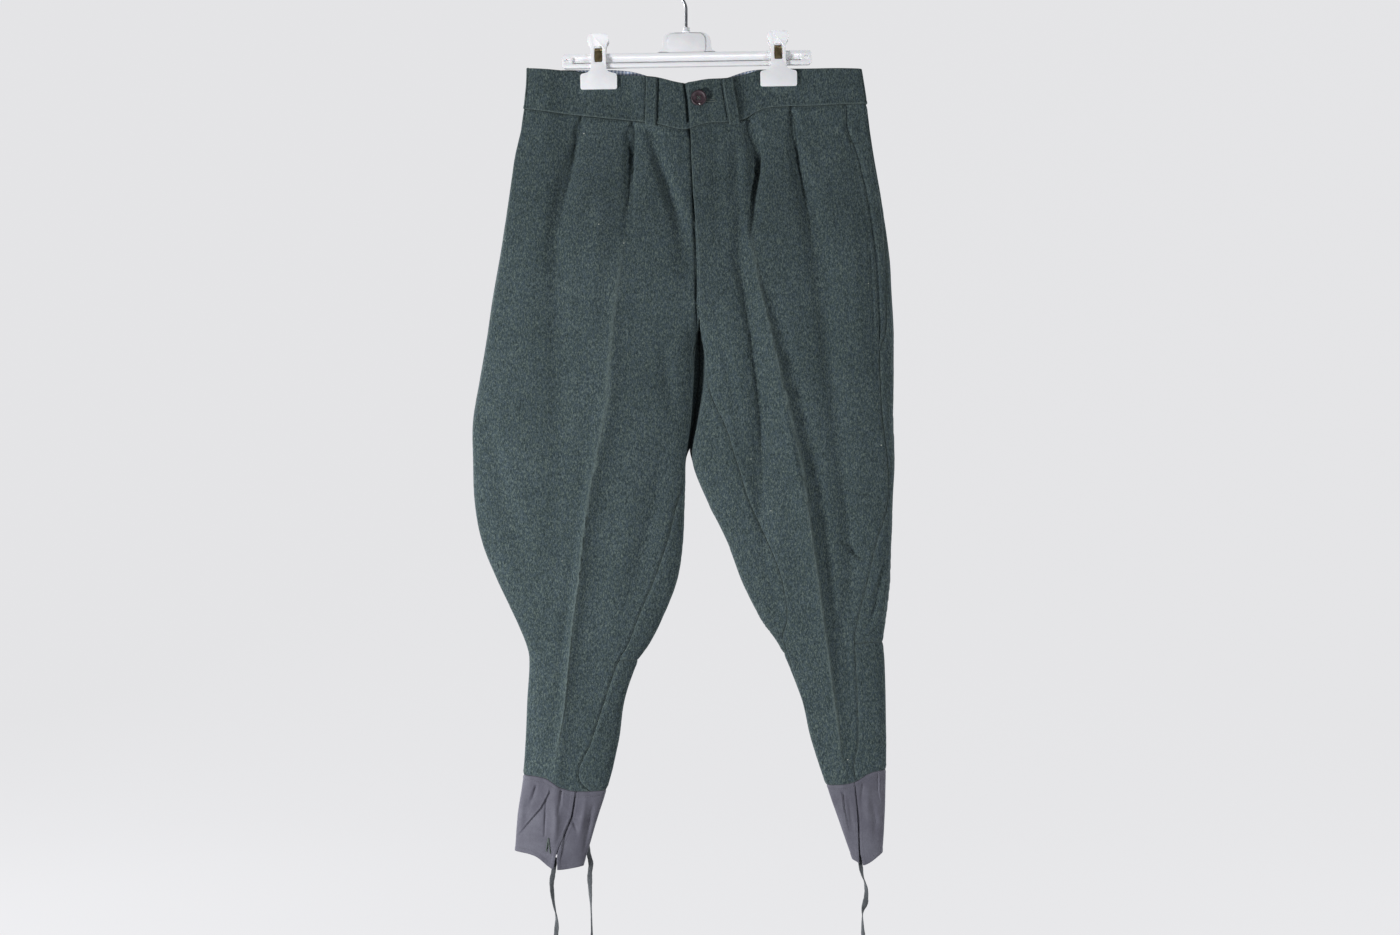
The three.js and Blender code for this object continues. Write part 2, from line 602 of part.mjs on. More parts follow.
function backPanel(leg) {
  const inseam = (z) => (z > crotchLevel ? 0 : inseamAngle(leg)(z));
  const side = (z) => facingAngle(leg)(z) - 2 * Math.PI;
  const crease = (z) => -angleAtX(leg, z, curve(leg.back.crease, 'x', z));
  const lines = [seamEdge(leg, inseam, -1), crease, seamEdge(leg, side, 1)];
  return panel(leg, {
    columns: columnsBetween(lines, leg.backCounts.upper),
    rows: rowsThrough(heightsFrom(0, kneeHeight), underBand(false), (x) => kneeSeam(leg)(x) + kneeGap / 2),
    wall: woolWall,
    lift: -bandStep,
  });
}

function calfPanel(leg) {
  const side = (z) => sideAngle(leg)(z) - 2 * Math.PI;
  const crease = (z) => -angleAtX(leg, z, curve(leg.back.crease, 'x', z));
  const lines = [seamEdge(leg, inseamAngle(leg), -1), crease, seamEdge(leg, side, 1)];
  return panel(leg, {
    columns: columnsBetween(lines, leg.backCounts.lower),
    rows: rowsThrough(
      heightsFrom(kneeHeight, -2000),
      (x) => kneeSeam(leg)(x) - kneeGap / 2,
      (x, angle) => cuffSeam(leg)(x, angle) + cuffGap,
    ),
    wall: woolWall,
    lift: -bandStep,
  });
}

// Waistband
function bandPanel(leg, isFront) {
  const reach = leg.name === 'right' && isFront ? () => underlapReach : noReach;
  const middle = isFront ? (z) => stepAlong(leg, z, 0, halfGap, reach) : (z) => stepAlong(leg, z, 0, -halfGap);
  const side = (z) => angleAtInset(leg, z, bandSideInset, 'outer');
  const lines = isFront
    ? [middle, (z) => stepAlong(leg, z, side(z), -halfGap, reach)]
    : [middle, (z) => stepAlong(leg, z, side(z) - 2 * Math.PI, halfGap)];
  return panel(leg, {
    columns: columnsBetween(lines, [20]),
    rows: rowsBetween(3, (x) => curve(waistEdges, isFront ? 'front' : 'back', x, 'x'), (x) => seamAt(x, isFront)),
    wall: bandWall,
    reach,
  });
}

function liningStrip(leg, from, to) {
  const lines = [from, to].map((x) => (z) => -angleAtX(leg, z, x));
  return panel(leg, {
    columns: columnsBetween(lines, [10]),
    rows: rowsBetween(
      2,
      (x) => curve(waistEdges, 'back', x, 'x') - liningEdges.high,
      (x) => curve(waistEdges, 'back', x, 'x') - liningEdges.low,
    ),
    wall: liningWall,
    lift: -bandWall - liningGap,
  });
}

// A belt loop lies flat on the band from just under its upper edge to below its seam
function beltLoop(leg, topX, bottomX, isFront) {
  const high = (x) => curve(waistEdges, isFront ? 'front' : 'back', x, 'x') - loopEnds.belowEdge;
  const low = (x) => seamAt(x, isFront) - loopEnds.pastSeam;
  const sign = isFront ? 1 : -1;
  const column = (offset) => (z) => {
    const share = fade(z, -140, -200);
    return sign * angleAtX(leg, z, topX + (bottomX - topX) * share + offset);
  };
  return panel(leg, {
    columns: columnsBetween([column(-loopWidth / 2), column(loopWidth / 2)], [2]),
    rows: rowsBetween(6, high, low),
    wall: loopWall,
    lift: loopWall + loopGap,
  });
}

// Cuffs: a wall all the way round from one edge of the slit to the other
function cuff(leg) {
  const slitX = (z) => curve(cuffSlits[leg.name], 'x', z);
  const open = (z) => curve(cuffSlits[leg.name], 'open', z) / 2;
  const slit = (z) => angleAtX(leg, z, slitX(z));
  const lines = [
    (z) => stepAlong(leg, z, slit(z), open(z)),
    () => Math.PI,
    (z) => stepAlong(leg, z, slit(z), -open(z)) + 2 * Math.PI,
  ];
  return panel(leg, {
    columns: columnsBetween(lines, [8, 18]),
    rows: rowsBetween(
      5,
      cuffSeam(leg),
      (x, angle) => curve(hems[leg.name], faceOf(angle), x, 'x'),
    ),
    wall: cuffWall,
    lift: -cuffStep,
  });
}

// Solids with booleans
function toManifold(geometry) {
  const plain = geometry.clone();
  plain.deleteAttribute('normal');
  plain.deleteAttribute('uv');
  const merged = mergeVertices(plain, 1e-4);
  return new wasm.Manifold(new wasm.Mesh({
    numProp: 3,
    vertProperties: new Float32Array(merged.attributes.position.array),
    triVerts: new Uint32Array(merged.index.array),
  }));
}

function fromManifold(solid) {
  const mesh = solid.getMesh();
  const geometry = new THREE.BufferGeometry();
  geometry.setAttribute('position', new THREE.Float32BufferAttribute(mesh.vertProperties, 3));
  geometry.setIndex(Array.from(mesh.triVerts));
  geometry.computeVertexNormals();
  return geometry;
}

// An outline in X and Z, extruded through a depth centred on the Y given
function slab(shape, depth, y, smoothness = 6) {
  const geometry = new THREE.ExtrudeGeometry(shape, { depth, bevelEnabled: false, curveSegments: smoothness });
  geometry.rotateX(Math.PI / 2);
  geometry.translate(0, y + depth / 2, 0);
  return geometry;
}

function roundedOutline(width, height, radius, x = 0, z = 0) {
  const shape = new THREE.Shape();
  const right = x + width / 2;
  const left = x - width / 2;
  const high = z + height / 2;
  const low = z - height / 2;
  shape.moveTo(right, low + radius);
  shape.lineTo(right, high - radius);
  shape.absarc(right - radius, high - radius, radius, 0, Math.PI / 2);
  shape.lineTo(left + radius, high);
  shape.absarc(left + radius, high - radius, radius, Math.PI / 2, Math.PI);
  shape.lineTo(left, low + radius);
  shape.absarc(left + radius, low + radius, radius, Math.PI, 1.5 * Math.PI);
  shape.lineTo(right - radius, low);
  shape.absarc(right - radius, low + radius, radius, 1.5 * Math.PI, 2 * Math.PI);
  return shape;
}

// Hanger
const tilt = { degrees: 1.0, pivotZ: -75 };
const bar = {
  length: 316.5, height: 17.5, z: -116.2, depth: 8.4, web: 4,
  topFlange: 4.4, bottomFlange: 5.1, endBlock: 13, corner: 4.5, holeRadius: 3, holeInset: 6.5,
};
const boss = { width: 66, high: -81.8, low: -111.8, radius: 13, depth: 7.2, fillet: 9, plateWidth: 47, plateInset: 1.2 };
const collar = { high: -75.1, low: -81.5, bore: 2.05, radius: 4.6, lip: 5.2 };
const wire = { radius: 1.75, bend: 20, rise: -52.9, foot: -80.5, tipAngle: -32 };
const clip = {
  left: -112.0, right: 116.0, padLow: -152.8, padHigh: -133.5, padHalf: 23.2, neckHalf: 9.6,
  handleHalf: 13.3, top: -84, thick: 3.2, face: 4.5, lean: 6, windowHalf: 5.3,
  windowLow: -118.6, windowHigh: -98.6, corner: 3,
};
const spring = { half: 4.6, thick: 0.9, reachY: 6.6, low: -118.0, high: -99.6 };

function barSolid() {
  const half = bar.length / 2;
  const body = roundedOutline(bar.length, bar.height, bar.corner, 0, bar.z);
  const high = bar.z + bar.height / 2;
  const low = bar.z - bar.height / 2;
  let solid = toManifold(slab(body, bar.depth, 0));
  const holeShape = new THREE.Shape();
  holeShape.absarc(0, 0, bar.holeRadius, 0, 2 * Math.PI);
  const recessHigh = high - bar.topFlange;
  const recessLow = low + bar.bottomFlange;
  const recessSpan = half - bar.endBlock;
  const recess = roundedOutline(recessSpan * 2, recessHigh - recessLow, 1.2, 0, (recessHigh + recessLow) / 2);
  const cutDepth = (bar.depth - bar.web) / 2 + 1;
  [-1, 1].forEach((side) => {
    const hole = slab(holeShape, bar.depth + 2, 0, 8);
    hole.translate(side * (half - bar.holeInset), 0, bar.z);
    solid = solid.subtract(toManifold(hole));
    solid = solid.subtract(toManifold(slab(recess, cutDepth, side * (bar.web / 2 + cutDepth / 2), 3)));
  });
  return solid.add(toManifold(bossSolid(high)));
}

// The boss rises from the bar in two fillets and carries a raised plate on each face
function bossSolid(barTop) {
  const half = boss.width / 2;
  const shape = new THREE.Shape();
  shape.moveTo(-half - boss.fillet, barTop - 1);
  shape.lineTo(half + boss.fillet, barTop - 1);
  shape.lineTo(half + boss.fillet, barTop);
  shape.absarc(half + boss.fillet - 2, barTop + boss.fillet, boss.fillet, 1.5 * Math.PI, Math.PI, true);
  shape.lineTo(half - 2, boss.high - boss.radius);
  shape.absarc(half - 2 - boss.radius, boss.high - boss.radius, boss.radius, 0, Math.PI / 2);
  shape.absarc(-half + 2 + boss.radius, boss.high - boss.radius, boss.radius, Math.PI / 2, Math.PI);
  shape.absarc(-half - boss.fillet + 2, barTop + boss.fillet, boss.fillet, 0, -Math.PI / 2, true);
  shape.lineTo(-half - boss.fillet, barTop);
  const flared = toManifold(slab(shape, bar.web + 1, 0));
  const plateHigh = boss.high - boss.plateInset;
  const middle = (plateHigh + boss.low) / 2;
  const plate = roundedOutline(boss.plateWidth, plateHigh - boss.low, 9, 0, middle);
  return fromManifold(flared.add(toManifold(slab(plate, boss.depth, 0))));
}

function clipJaw(face) {
  const c = clip;
  const { corner } = c;
  const shape = new THREE.Shape();
  shape.moveTo(-c.padHalf + corner, c.padLow);
  shape.lineTo(c.padHalf - corner, c.padLow);
  shape.quadraticCurveTo(c.padHalf, c.padLow, c.padHalf, c.padLow + corner);
  shape.lineTo(c.padHalf, c.padHigh - corner);
  shape.quadraticCurveTo(c.padHalf, c.padHigh, c.padHalf - corner, c.padHigh + 0.6);
  shape.quadraticCurveTo(c.neckHalf, c.padHigh + 2, c.neckHalf, c.padHigh + 9);
  shape.lineTo(c.neckHalf, c.windowLow);
  shape.lineTo(c.neckHalf, c.windowHigh - 6);
  shape.quadraticCurveTo(c.neckHalf, c.windowHigh + 2, c.handleHalf, c.windowHigh + 6);
  shape.quadraticCurveTo(c.handleHalf + 0.8, c.top, c.handleHalf - 5, c.top);
  shape.lineTo(-c.handleHalf + 5, c.top);
  shape.quadraticCurveTo(-c.handleHalf - 0.8, c.top, -c.handleHalf, c.windowHigh + 6);
  shape.quadraticCurveTo(-c.neckHalf, c.windowHigh + 2, -c.neckHalf, c.windowHigh - 6);
  shape.lineTo(-c.neckHalf, c.windowLow);
  shape.lineTo(-c.neckHalf, c.padHigh + 9);
  shape.quadraticCurveTo(-c.neckHalf, c.padHigh + 2, -c.padHalf + corner, c.padHigh + 0.6);
  shape.quadraticCurveTo(-c.padHalf, c.padHigh, -c.padHalf, c.padHigh - corner);
  shape.lineTo(-c.padHalf, c.padLow + corner);
  shape.quadraticCurveTo(-c.padHalf, c.padLow, -c.padHalf + corner, c.padLow);
  const windowHeight = c.windowHigh - c.windowLow;
  shape.holes.push(roundedOutline(c.windowHalf * 2, windowHeight, 2, 0, c.windowLow + windowHeight / 2));
  const jaw = slab(shape, c.thick, -(c.face + c.thick / 2), 4);
  const places = jaw.attributes.position;
  for (let i = 0; i < places.count; i += 1) {
    const lean = c.lean * fade(places.getZ(i), c.windowHigh - 4, c.top);
    places.setY(i, face * (places.getY(i) - lean));
  }
  if (face < 0) jaw.index = turnedIndex(jaw);
  return jaw;
}

function turnedIndex(geometry) {
  const count = geometry.index ? geometry.index.count : geometry.attributes.position.count;
  const order = [];
  for (let i = 0; i < count; i += 3) {
    const at = (k) => (geometry.index ? geometry.index.getX(i + k) : i + k);
    order.push(at(0), at(2), at(1));
  }
  return new THREE.Uint32BufferAttribute(order, 1);
}

// The leaf spring arches over the bar and reaches down through both windows
function clipSpring() {
  const s = spring;
  const shape = new THREE.Shape();
  const bend = s.reachY;
  const straight = s.high - bend;
  shape.moveTo(-s.reachY, s.low);
  shape.lineTo(-s.reachY, straight);
  shape.absarc(0, straight, bend, Math.PI, 0, true);
  shape.lineTo(s.reachY, s.low);
  shape.lineTo(s.reachY - s.thick, s.low);
  shape.lineTo(s.reachY - s.thick, straight);
  shape.absarc(0, straight, bend - s.thick, 0, Math.PI, false);
  shape.lineTo(-s.reachY + s.thick, s.low);
  const leaf = new THREE.ExtrudeGeometry(shape, { depth: s.half * 2, bevelEnabled: false, curveSegments: 8 });
  leaf.rotateX(Math.PI / 2);
  leaf.rotateZ(Math.PI / 2);
  leaf.translate(-s.half, 0, 0);
  return leaf;
}

function collarRing() {
  const c = collar;
  const profile = [
    [c.bore, c.low], [c.lip, c.low], [c.lip, c.low + 2], [c.radius, c.low + 3],
    [c.radius, c.high - 1], [c.radius - 1, c.high], [c.bore, c.high], [c.bore, c.low],
  ].map(([radius, z]) => new THREE.Vector2(radius, z));
  return new THREE.LatheGeometry(profile, 16).rotateX(Math.PI / 2);
}

// The wire rises straight, bends aside and turns over the rail in one round crown
function hookWire() {
  const crown = wire.radius;
  const centreZ = crown - wire.bend;
  const sideways = Math.PI / 3;
  const points = [new THREE.Vector3(0, 0, wire.foot), new THREE.Vector3(0, 0, (wire.foot + wire.rise) / 2)];
  for (let i = 0; i <= 4; i += 1) {
    const turn = (sideways * i) / 4;
    points.push(new THREE.Vector3(-wire.bend * (1 - Math.cos(turn)), 0, wire.rise + wire.bend * Math.sin(turn)));
  }
  const start = Math.PI + sideways;
  const end = (wire.tipAngle * Math.PI) / 180;
  const turns = 14;
  for (let i = 1; i <= turns; i += 1) {
    const angle = start + ((end - start) * i) / turns;
    points.push(new THREE.Vector3(wire.bend * Math.cos(angle), 0, centreZ + wire.bend * Math.sin(angle)));
  }
  return tube(points, wire.radius, 26, 8);
}

function tube(points, radius, steps, sides) {
  const shape = new THREE.Shape();
  for (let i = 0; i < sides; i += 1) {
    const angle = (2 * Math.PI * i) / sides;
    const x = radius * Math.cos(angle);
    const y = radius * Math.sin(angle);
    if (i === 0) shape.moveTo(x, y);
    else shape.lineTo(x, y);
  }
  shape.closePath();
  const extrudePath = new THREE.CatmullRomCurve3(points);
  return new THREE.ExtrudeGeometry(shape, { steps, bevelEnabled: false, extrudePath });
}

// Button: a turned disc with a raised rim and four holes
function waistButton() {
  const b = button;
  const profile = [
    [0, 0], [b.radius - 1, 0], [b.radius, 1], [b.radius, b.thick - 0.8], [b.radius - 0.8, b.thick],
    [b.radius - b.rim, b.thick], [b.radius - b.rim - 1, b.thick - 1], [0, b.thick - 1],
  ].map(([radius, height]) => new THREE.Vector2(radius, height));
  let solid = toManifold(new THREE.LatheGeometry(profile, 24));
  [[1, 1], [1, -1], [-1, 1], [-1, -1]].forEach(([dx, dz]) => {
    const hole = new THREE.CylinderGeometry(b.holeRadius, b.holeRadius, b.thick * 3, 8);
    hole.translate(dx * b.holeSpread, 0, dz * b.holeSpread);
    solid = solid.subtract(toManifold(hole));
  });
  const geometry = fromManifold(solid);
  geometry.rotateX(Math.PI);
  return geometry;
}

// Ties: narrow twisted tapes. Each route is listed from the cuff down.
const tieRadius = 2.7;
const tieStep = 19;
const tieRoutes = {
  tie_right_slit: [
    [-167.0, -5.9, -1128.0], [-167.2, -5.9, -1137.0], [-168.2, -5.6, -1146.0], [-170.4, -5.0, -1159.0],
    [-169.9, -4.2, -1172.0], [-167.9, -4.0, -1187.0], [-165.0, -3.8, -1201.0], [-164.1, -3.6, -1211.0],
    [-165.2, -3.4, -1228.0], [-168.0, -3.2, -1250.0], [-171.5, -3.0, -1275.0], [-172.5, -2.8, -1300.0],
    [-170.0, -2.6, -1325.0], [-167.0, -2.4, -1350.0], [-166.5, -2.2, -1375.0], [-168.5, -2.0, -1400.0],
    [-170.0, -2.0, -1427.0],
  ],
  tie_right_inner: [
    [-126.6, 8.2, -1112.0], [-124.4, 6.6, -1125.0], [-121.4, 5.4, -1137.5], [-122.2, 4.6, -1146.0],
    [-122.8, 4.0, -1154.0], [-122.2, 3.2, -1170.0], [-121.3, 2.6, -1187.0], [-120.5, 2.4, -1207.0],
    [-120.1, 2.2, -1228.0], [-120.8, 2.0, -1250.0], [-123.0, 2.0, -1275.0], [-125.0, 2.0, -1300.0],
    [-124.5, 2.0, -1325.0], [-122.0, 2.0, -1350.0], [-120.5, 2.0, -1380.0], [-121.0, 2.0, -1411.0],
  ],
  tie_left_slit: [
    [219.5, -4.3, -1118.0], [220.2, -4.3, -1128.0], [220.9, -4.3, -1137.0], [223.3, -4.3, -1150.2],
    [226.6, -4.2, -1160.0], [228.3, -4.2, -1169.2], [228.2, -4.0, -1177.0], [227.1, -3.8, -1185.7],
    [224.0, -3.6, -1195.9], [223.6, -3.4, -1210.0], [224.5, -3.2, -1227.7], [226.5, -3.0, -1250.0],
    [228.5, -2.8, -1275.0], [227.8, -2.6, -1300.0], [225.0, -2.4, -1325.0], [223.5, -2.2, -1350.0],
    [224.5, -2.0, -1380.0], [226.0, -2.0, -1416.0],
  ],
};

// Materials
const finish = {
  wool: { color: 0x3a4441, roughness: 0.95, metalness: 0 },
  facing: { color: 0x36403d, roughness: 0.95, metalness: 0 },
  cotton: { color: 0x57565e, roughness: 0.85, metalness: 0 },
  lining: { color: 0x9fb0c6, roughness: 0.6, metalness: 0 },
  plastic: { color: 0xf1f2f4, roughness: 0.35, metalness: 0 },
  steel: { color: 0xa8a9ad, roughness: 0.3, metalness: 1 },
  button: { color: 0x43242f, roughness: 0.4, metalness: 0 },
};

function mesh(name, geometry, look) {
  const part = new THREE.Mesh(geometry, new THREE.MeshStandardMaterial(look));
  part.name = name;
  return part;
}

function placed(part, x, y, z) {
  part.position.set(x, y, z);
  return part;
}

const breeches = new THREE.Group();
Object.values(legs).forEach((leg) => {
  breeches.add(mesh(`front_${leg.name}`, frontPanel(leg), finish.wool));
  breeches.add(mesh(`pocket_facing_${leg.name}`, facingPanel(leg), finish.facing));
  breeches.add(mesh(`back_${leg.name}`, backPanel(leg), finish.wool));
  breeches.add(mesh(`calf_${leg.name}`, calfPanel(leg), finish.wool));
  breeches.add(mesh(`waistband_front_${leg.name}`, bandPanel(leg, true), finish.wool));
  breeches.add(mesh(`waistband_back_${leg.name}`, bandPanel(leg, false), finish.wool));
  breeches.add(mesh(`cuff_${leg.name}`, cuff(leg), finish.cotton));
});
breeches.add(mesh('lining_strip_right', liningStrip(legs.right, -46, -140), finish.lining));
breeches.add(mesh('lining_strip_left', liningStrip(legs.left, 44, 94), finish.lining));
breeches.add(mesh('belt_loop_front_right', beltLoop(legs.right, -44, -45, true), finish.wool));
breeches.add(mesh('belt_loop_front_left', beltLoop(legs.left, 53, 60.8, true), finish.wool));
breeches.add(mesh('belt_loop_side_right', beltLoop(legs.right, -188, -191, false), finish.wool));
breeches.add(mesh('belt_loop_side_left', beltLoop(legs.left, 210, 213, false), finish.wool));
breeches.add(mesh('belt_loop_back', beltLoop(legs.left, 14, 14, false), finish.wool));

const bandFace = clothPoint(legs.left, button.z, angleAtX(legs.left, button.z, button.x)).y;
breeches.add(placed(mesh('waist_button', waistButton(), finish.button), button.x, bandFace - buttonSink, button.z));

Object.entries(tieRoutes).forEach(([name, route]) => {
  const points = route.map(([x, y, z]) => new THREE.Vector3(x, y, z));
  const length = new THREE.CatmullRomCurve3(points).getLength();
  const steps = Math.round(length / tieStep);
  breeches.add(mesh(name, tube(points, tieRadius, steps, 8), finish.wool));
});

const hanger = new THREE.Group();
hanger.position.set(0, 0, tilt.pivotZ);
hanger.rotation.set(0, -THREE.MathUtils.degToRad(tilt.degrees), 0);
const onPivot = new THREE.Group();
onPivot.position.set(0, 0, -tilt.pivotZ);
hanger.add(onPivot);
onPivot.add(mesh('hanger_bar', fromManifold(barSolid()), finish.plastic));
Object.entries({ right: clip.left, left: clip.right }).forEach(([name, x]) => {
  onPivot.add(placed(mesh(`clip_jaw_front_${name}`, clipJaw(1), finish.plastic), x, 0, 0));
  onPivot.add(placed(mesh(`clip_jaw_back_${name}`, clipJaw(-1), finish.plastic), x, 0, 0));
  onPivot.add(placed(mesh(`clip_spring_${name}`, clipSpring(), finish.steel), x, 0, 0));
});
onPivot.add(mesh('hanger_collar', collarRing(), finish.plastic));

const object = new THREE.Group();
object.add(breeches);
object.add(hanger);
object.add(mesh('hanger_hook', hookWire(), finish.steel));

export default object;
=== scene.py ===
# %% [markdown]
# # Riding breeches on a clip hanger
# The real object is a pair of uniform breeches in felted wool, cut very full at the thigh and
# narrow at the calf, with cotton cuffs. Two clips hold the waistband, and a wire hook holds the
# lot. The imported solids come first. They are a fixed frame, and everything that is made here
# lies on them. All lengths below are in millimetres unless a name says otherwise.

# %% Load the frame
import math

import bpy
import numpy as np
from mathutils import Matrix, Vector


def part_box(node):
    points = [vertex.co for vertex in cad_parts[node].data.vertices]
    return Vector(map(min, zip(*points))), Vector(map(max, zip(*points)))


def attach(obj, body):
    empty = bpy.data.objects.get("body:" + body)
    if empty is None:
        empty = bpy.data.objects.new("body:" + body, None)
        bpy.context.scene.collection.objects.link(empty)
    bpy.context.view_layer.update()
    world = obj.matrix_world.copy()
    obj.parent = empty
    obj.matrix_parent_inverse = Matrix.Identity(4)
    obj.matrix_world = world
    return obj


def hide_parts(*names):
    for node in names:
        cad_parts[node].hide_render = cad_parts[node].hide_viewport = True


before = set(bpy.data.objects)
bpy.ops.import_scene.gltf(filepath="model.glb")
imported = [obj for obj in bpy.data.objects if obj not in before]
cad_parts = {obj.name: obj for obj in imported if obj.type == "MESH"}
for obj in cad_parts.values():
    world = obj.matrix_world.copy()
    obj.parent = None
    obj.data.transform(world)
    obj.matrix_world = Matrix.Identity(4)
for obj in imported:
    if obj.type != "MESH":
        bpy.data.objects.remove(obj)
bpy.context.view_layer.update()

MM = 0.001
print("nodes:", len(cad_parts))

# %% [markdown]
# ## The camera
# The photo was taken from straight in front with a normal lens. One of its pixels is 1.27 mm at
# the garment. The lens and the frame's width give the distance, so no trial and error is needed.

# %% Camera
PHOTO_WIDTH = 1400
PIXEL = 1.27
LENS = 50
SENSOR = 36
VIEW_CENTRE = (17.5, -633.9)

camera_data = bpy.data.cameras.new("camera")
camera_data.lens = LENS
camera_data.sensor_width = SENSOR
camera = bpy.data.objects.new("camera", camera_data)
camera_distance = LENS / SENSOR * PHOTO_WIDTH * PIXEL
camera.location = (VIEW_CENTRE[0] * MM, -camera_distance * MM, VIEW_CENTRE[1] * MM)
camera.rotation_euler = (math.radians(90), 0, 0)
bpy.context.collection.objects.link(camera)
bpy.context.scene.camera = camera
# A plain tone curve shows each finish's colour as it was matched
bpy.context.scene.view_settings.view_transform = "Standard"
print("camera distance in metres:", round(camera_distance * MM, 3))

# %% [markdown]
# ## A mesh from grids of points
# Cloth, tape and wire are all grids: rows of points with faces between them. One helper turns
# named arrays of points and faces into an object with smooth shading, and keeps real corners
# sharp by their angle. The sizes stand in short text tables, with a comma after each row.

# %% Mesh helper
def mesh_object(name, points, faces, corner=50):
    mesh = bpy.data.meshes.new(name)
    mesh.from_pydata((np.asarray(points) * MM).tolist(), [], [list(map(int, f)) for f in faces])
    mesh.update()
    mesh.shade_smooth()
    mesh.set_sharp_from_angle(angle=math.radians(corner))
    piece = bpy.data.objects.new(name, mesh)
    bpy.context.collection.objects.link(piece)
    return piece


def grid_faces(rows, columns, start=0, closed=False):
    ring = columns if closed else columns - 1
    r, c = np.meshgrid(np.arange(rows - 1), np.arange(ring), indexing="ij")
    after = (c + 1) % columns
    low, high = start + r * columns, start + (r + 1) * columns
    return np.stack([low + c, low + after, high + after, high + c], -1).reshape(-1, 4)


def tube_faces(rows, sides, start=0):
    """The faces of a closed tube with both its ends."""
    last = start + (rows - 1) * sides
    ends = [list(range(start, start + sides))[::-1], list(range(last, last + sides))]
    return grid_faces(rows, sides, start, closed=True).tolist() + ends


def numbers(text, columns):
    """The rows of a text table."""
    return np.array(text.replace(",", " ").split(), float).reshape(-1, columns)


def stand_for(piece, node):
    """The piece rides on the only body and is seen in place of a solid."""
    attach(piece, "root")
    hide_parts(node)


def smooth_step(share):
    share = np.clip(share, 0, 1)
    return share * share * (3 - 2 * share)


def fade(at, start, end):
    return smooth_step((at - start) / (end - start))


# %% [markdown]
# ## The ties
# Narrow tapes of the same wool-coloured cloth hang from the cuffs, twisted by use. Each follows
# the route of its solid. A flat section is swept down the route and turned as it goes, which
# gives the wide and the narrow places that a twisted tape shows from any side.

# %% Ties
TAPE_WIDTH = 6.2
TAPE_THICK = 1.7
TAPE_STEP = 3
TAPE_SIDES = 14
SECTION_POWER = 0.7  # under 1, a section has fuller corners than an ellipse
TIE_ROUTES = {
    "tie_right_slit": numbers("""
        -167 -5.9 -1128, -167.2 -5.9 -1137, -168.2 -5.6 -1146, -170.4 -5 -1159, -169.9 -4.2 -1172,
        -167.9 -4 -1187, -165 -3.8 -1201, -164.1 -3.6 -1211, -165.2 -3.4 -1228, -168 -3.2 -1250,
        -171.5 -3 -1275, -172.5 -2.8 -1300, -170 -2.6 -1325, -167 -2.4 -1350, -166.5 -2.2 -1375,
        -168.5 -2 -1400, -170 -2 -1427""", 3),
    "tie_right_inner": numbers("""
        -126.6 8.2 -1112, -124.4 6.6 -1125, -121.4 5.4 -1137.5, -122.2 4.6 -1146, -122.8 4 -1154,
        -122.2 3.2 -1170, -121.3 2.6 -1187, -120.5 2.4 -1207, -120.1 2.2 -1228, -120.8 2 -1250,
        -123 2 -1275, -125 2 -1300, -124.5 2 -1325, -122 2 -1350, -120.5 2 -1380, -121 2 -1411""", 3),
    "tie_left_slit": numbers("""
        219.5 -4.3 -1118, 220.2 -4.3 -1128, 220.9 -4.3 -1137, 223.3 -4.3 -1150.2, 226.6 -4.2 -1160,
        228.3 -4.2 -1169.2, 228.2 -4 -1177, 227.1 -3.8 -1185.7, 224 -3.6 -1195.9, 223.6 -3.4 -1210,
        224.5 -3.2 -1227.7, 226.5 -3 -1250, 228.5 -2.8 -1275, 227.8 -2.6 -1300, 225 -2.4 -1325,
        223.5 -2.2 -1350, 224.5 -2 -1380, 226 -2 -1416""", 3),
}
# Where the width of a tape turns towards the eye: height and turn in degrees
TIE_TURNS = {
    "tie_right_slit": numbers("""
        -1100 0, -1160 20, -1190 75, -1215 150, -1250 200, -1300 330, -1360 420, -1430 500""", 2),
    "tie_right_inner": numbers("""
        -1100 40, -1150 10, -1180 -60, -1215 -90, -1240 -130, -1300 -250, -1360 -330, -1430 -400""", 2),
    "tie_left_slit": numbers("""
        -1100 10, -1140 30, -1165 120, -1190 190, -1200 260, -1240 340, -1300 480, -1360 600,
        -1430 690""", 2),
}
TIE_KNOTS = {"tie_left_slit": -1186.5}


def spline_through(points, step):
    """Even points on a smooth line through the route."""
    points = np.asarray(points, float)
    padded = np.vstack([2 * points[0] - points[1], points, 2 * points[-1] - points[-2]])
    share = np.linspace(0, 1, 24, endpoint=False)[:, None]
    bends = []
    for a, b, c, d in zip(padded, padded[1:], padded[2:], padded[3:]):
        bends.append(0.5 * (2 * b + (c - a) * share + (2 * a - 5 * b + 4 * c - d) * share ** 2
                            + (3 * b - a - 3 * c + d) * share ** 3))
    line = np.vstack(bends + [points[-1:]])
    reach = np.concatenate([[0], np.cumsum(np.linalg.norm(np.diff(line, axis=0), axis=1))])
    even = np.linspace(0, reach[-1], max(int(reach[-1] / step), 2) + 1)
    return np.stack([np.interp(even, reach, line[:, k]) for k in range(3)], -1), reach[-1]


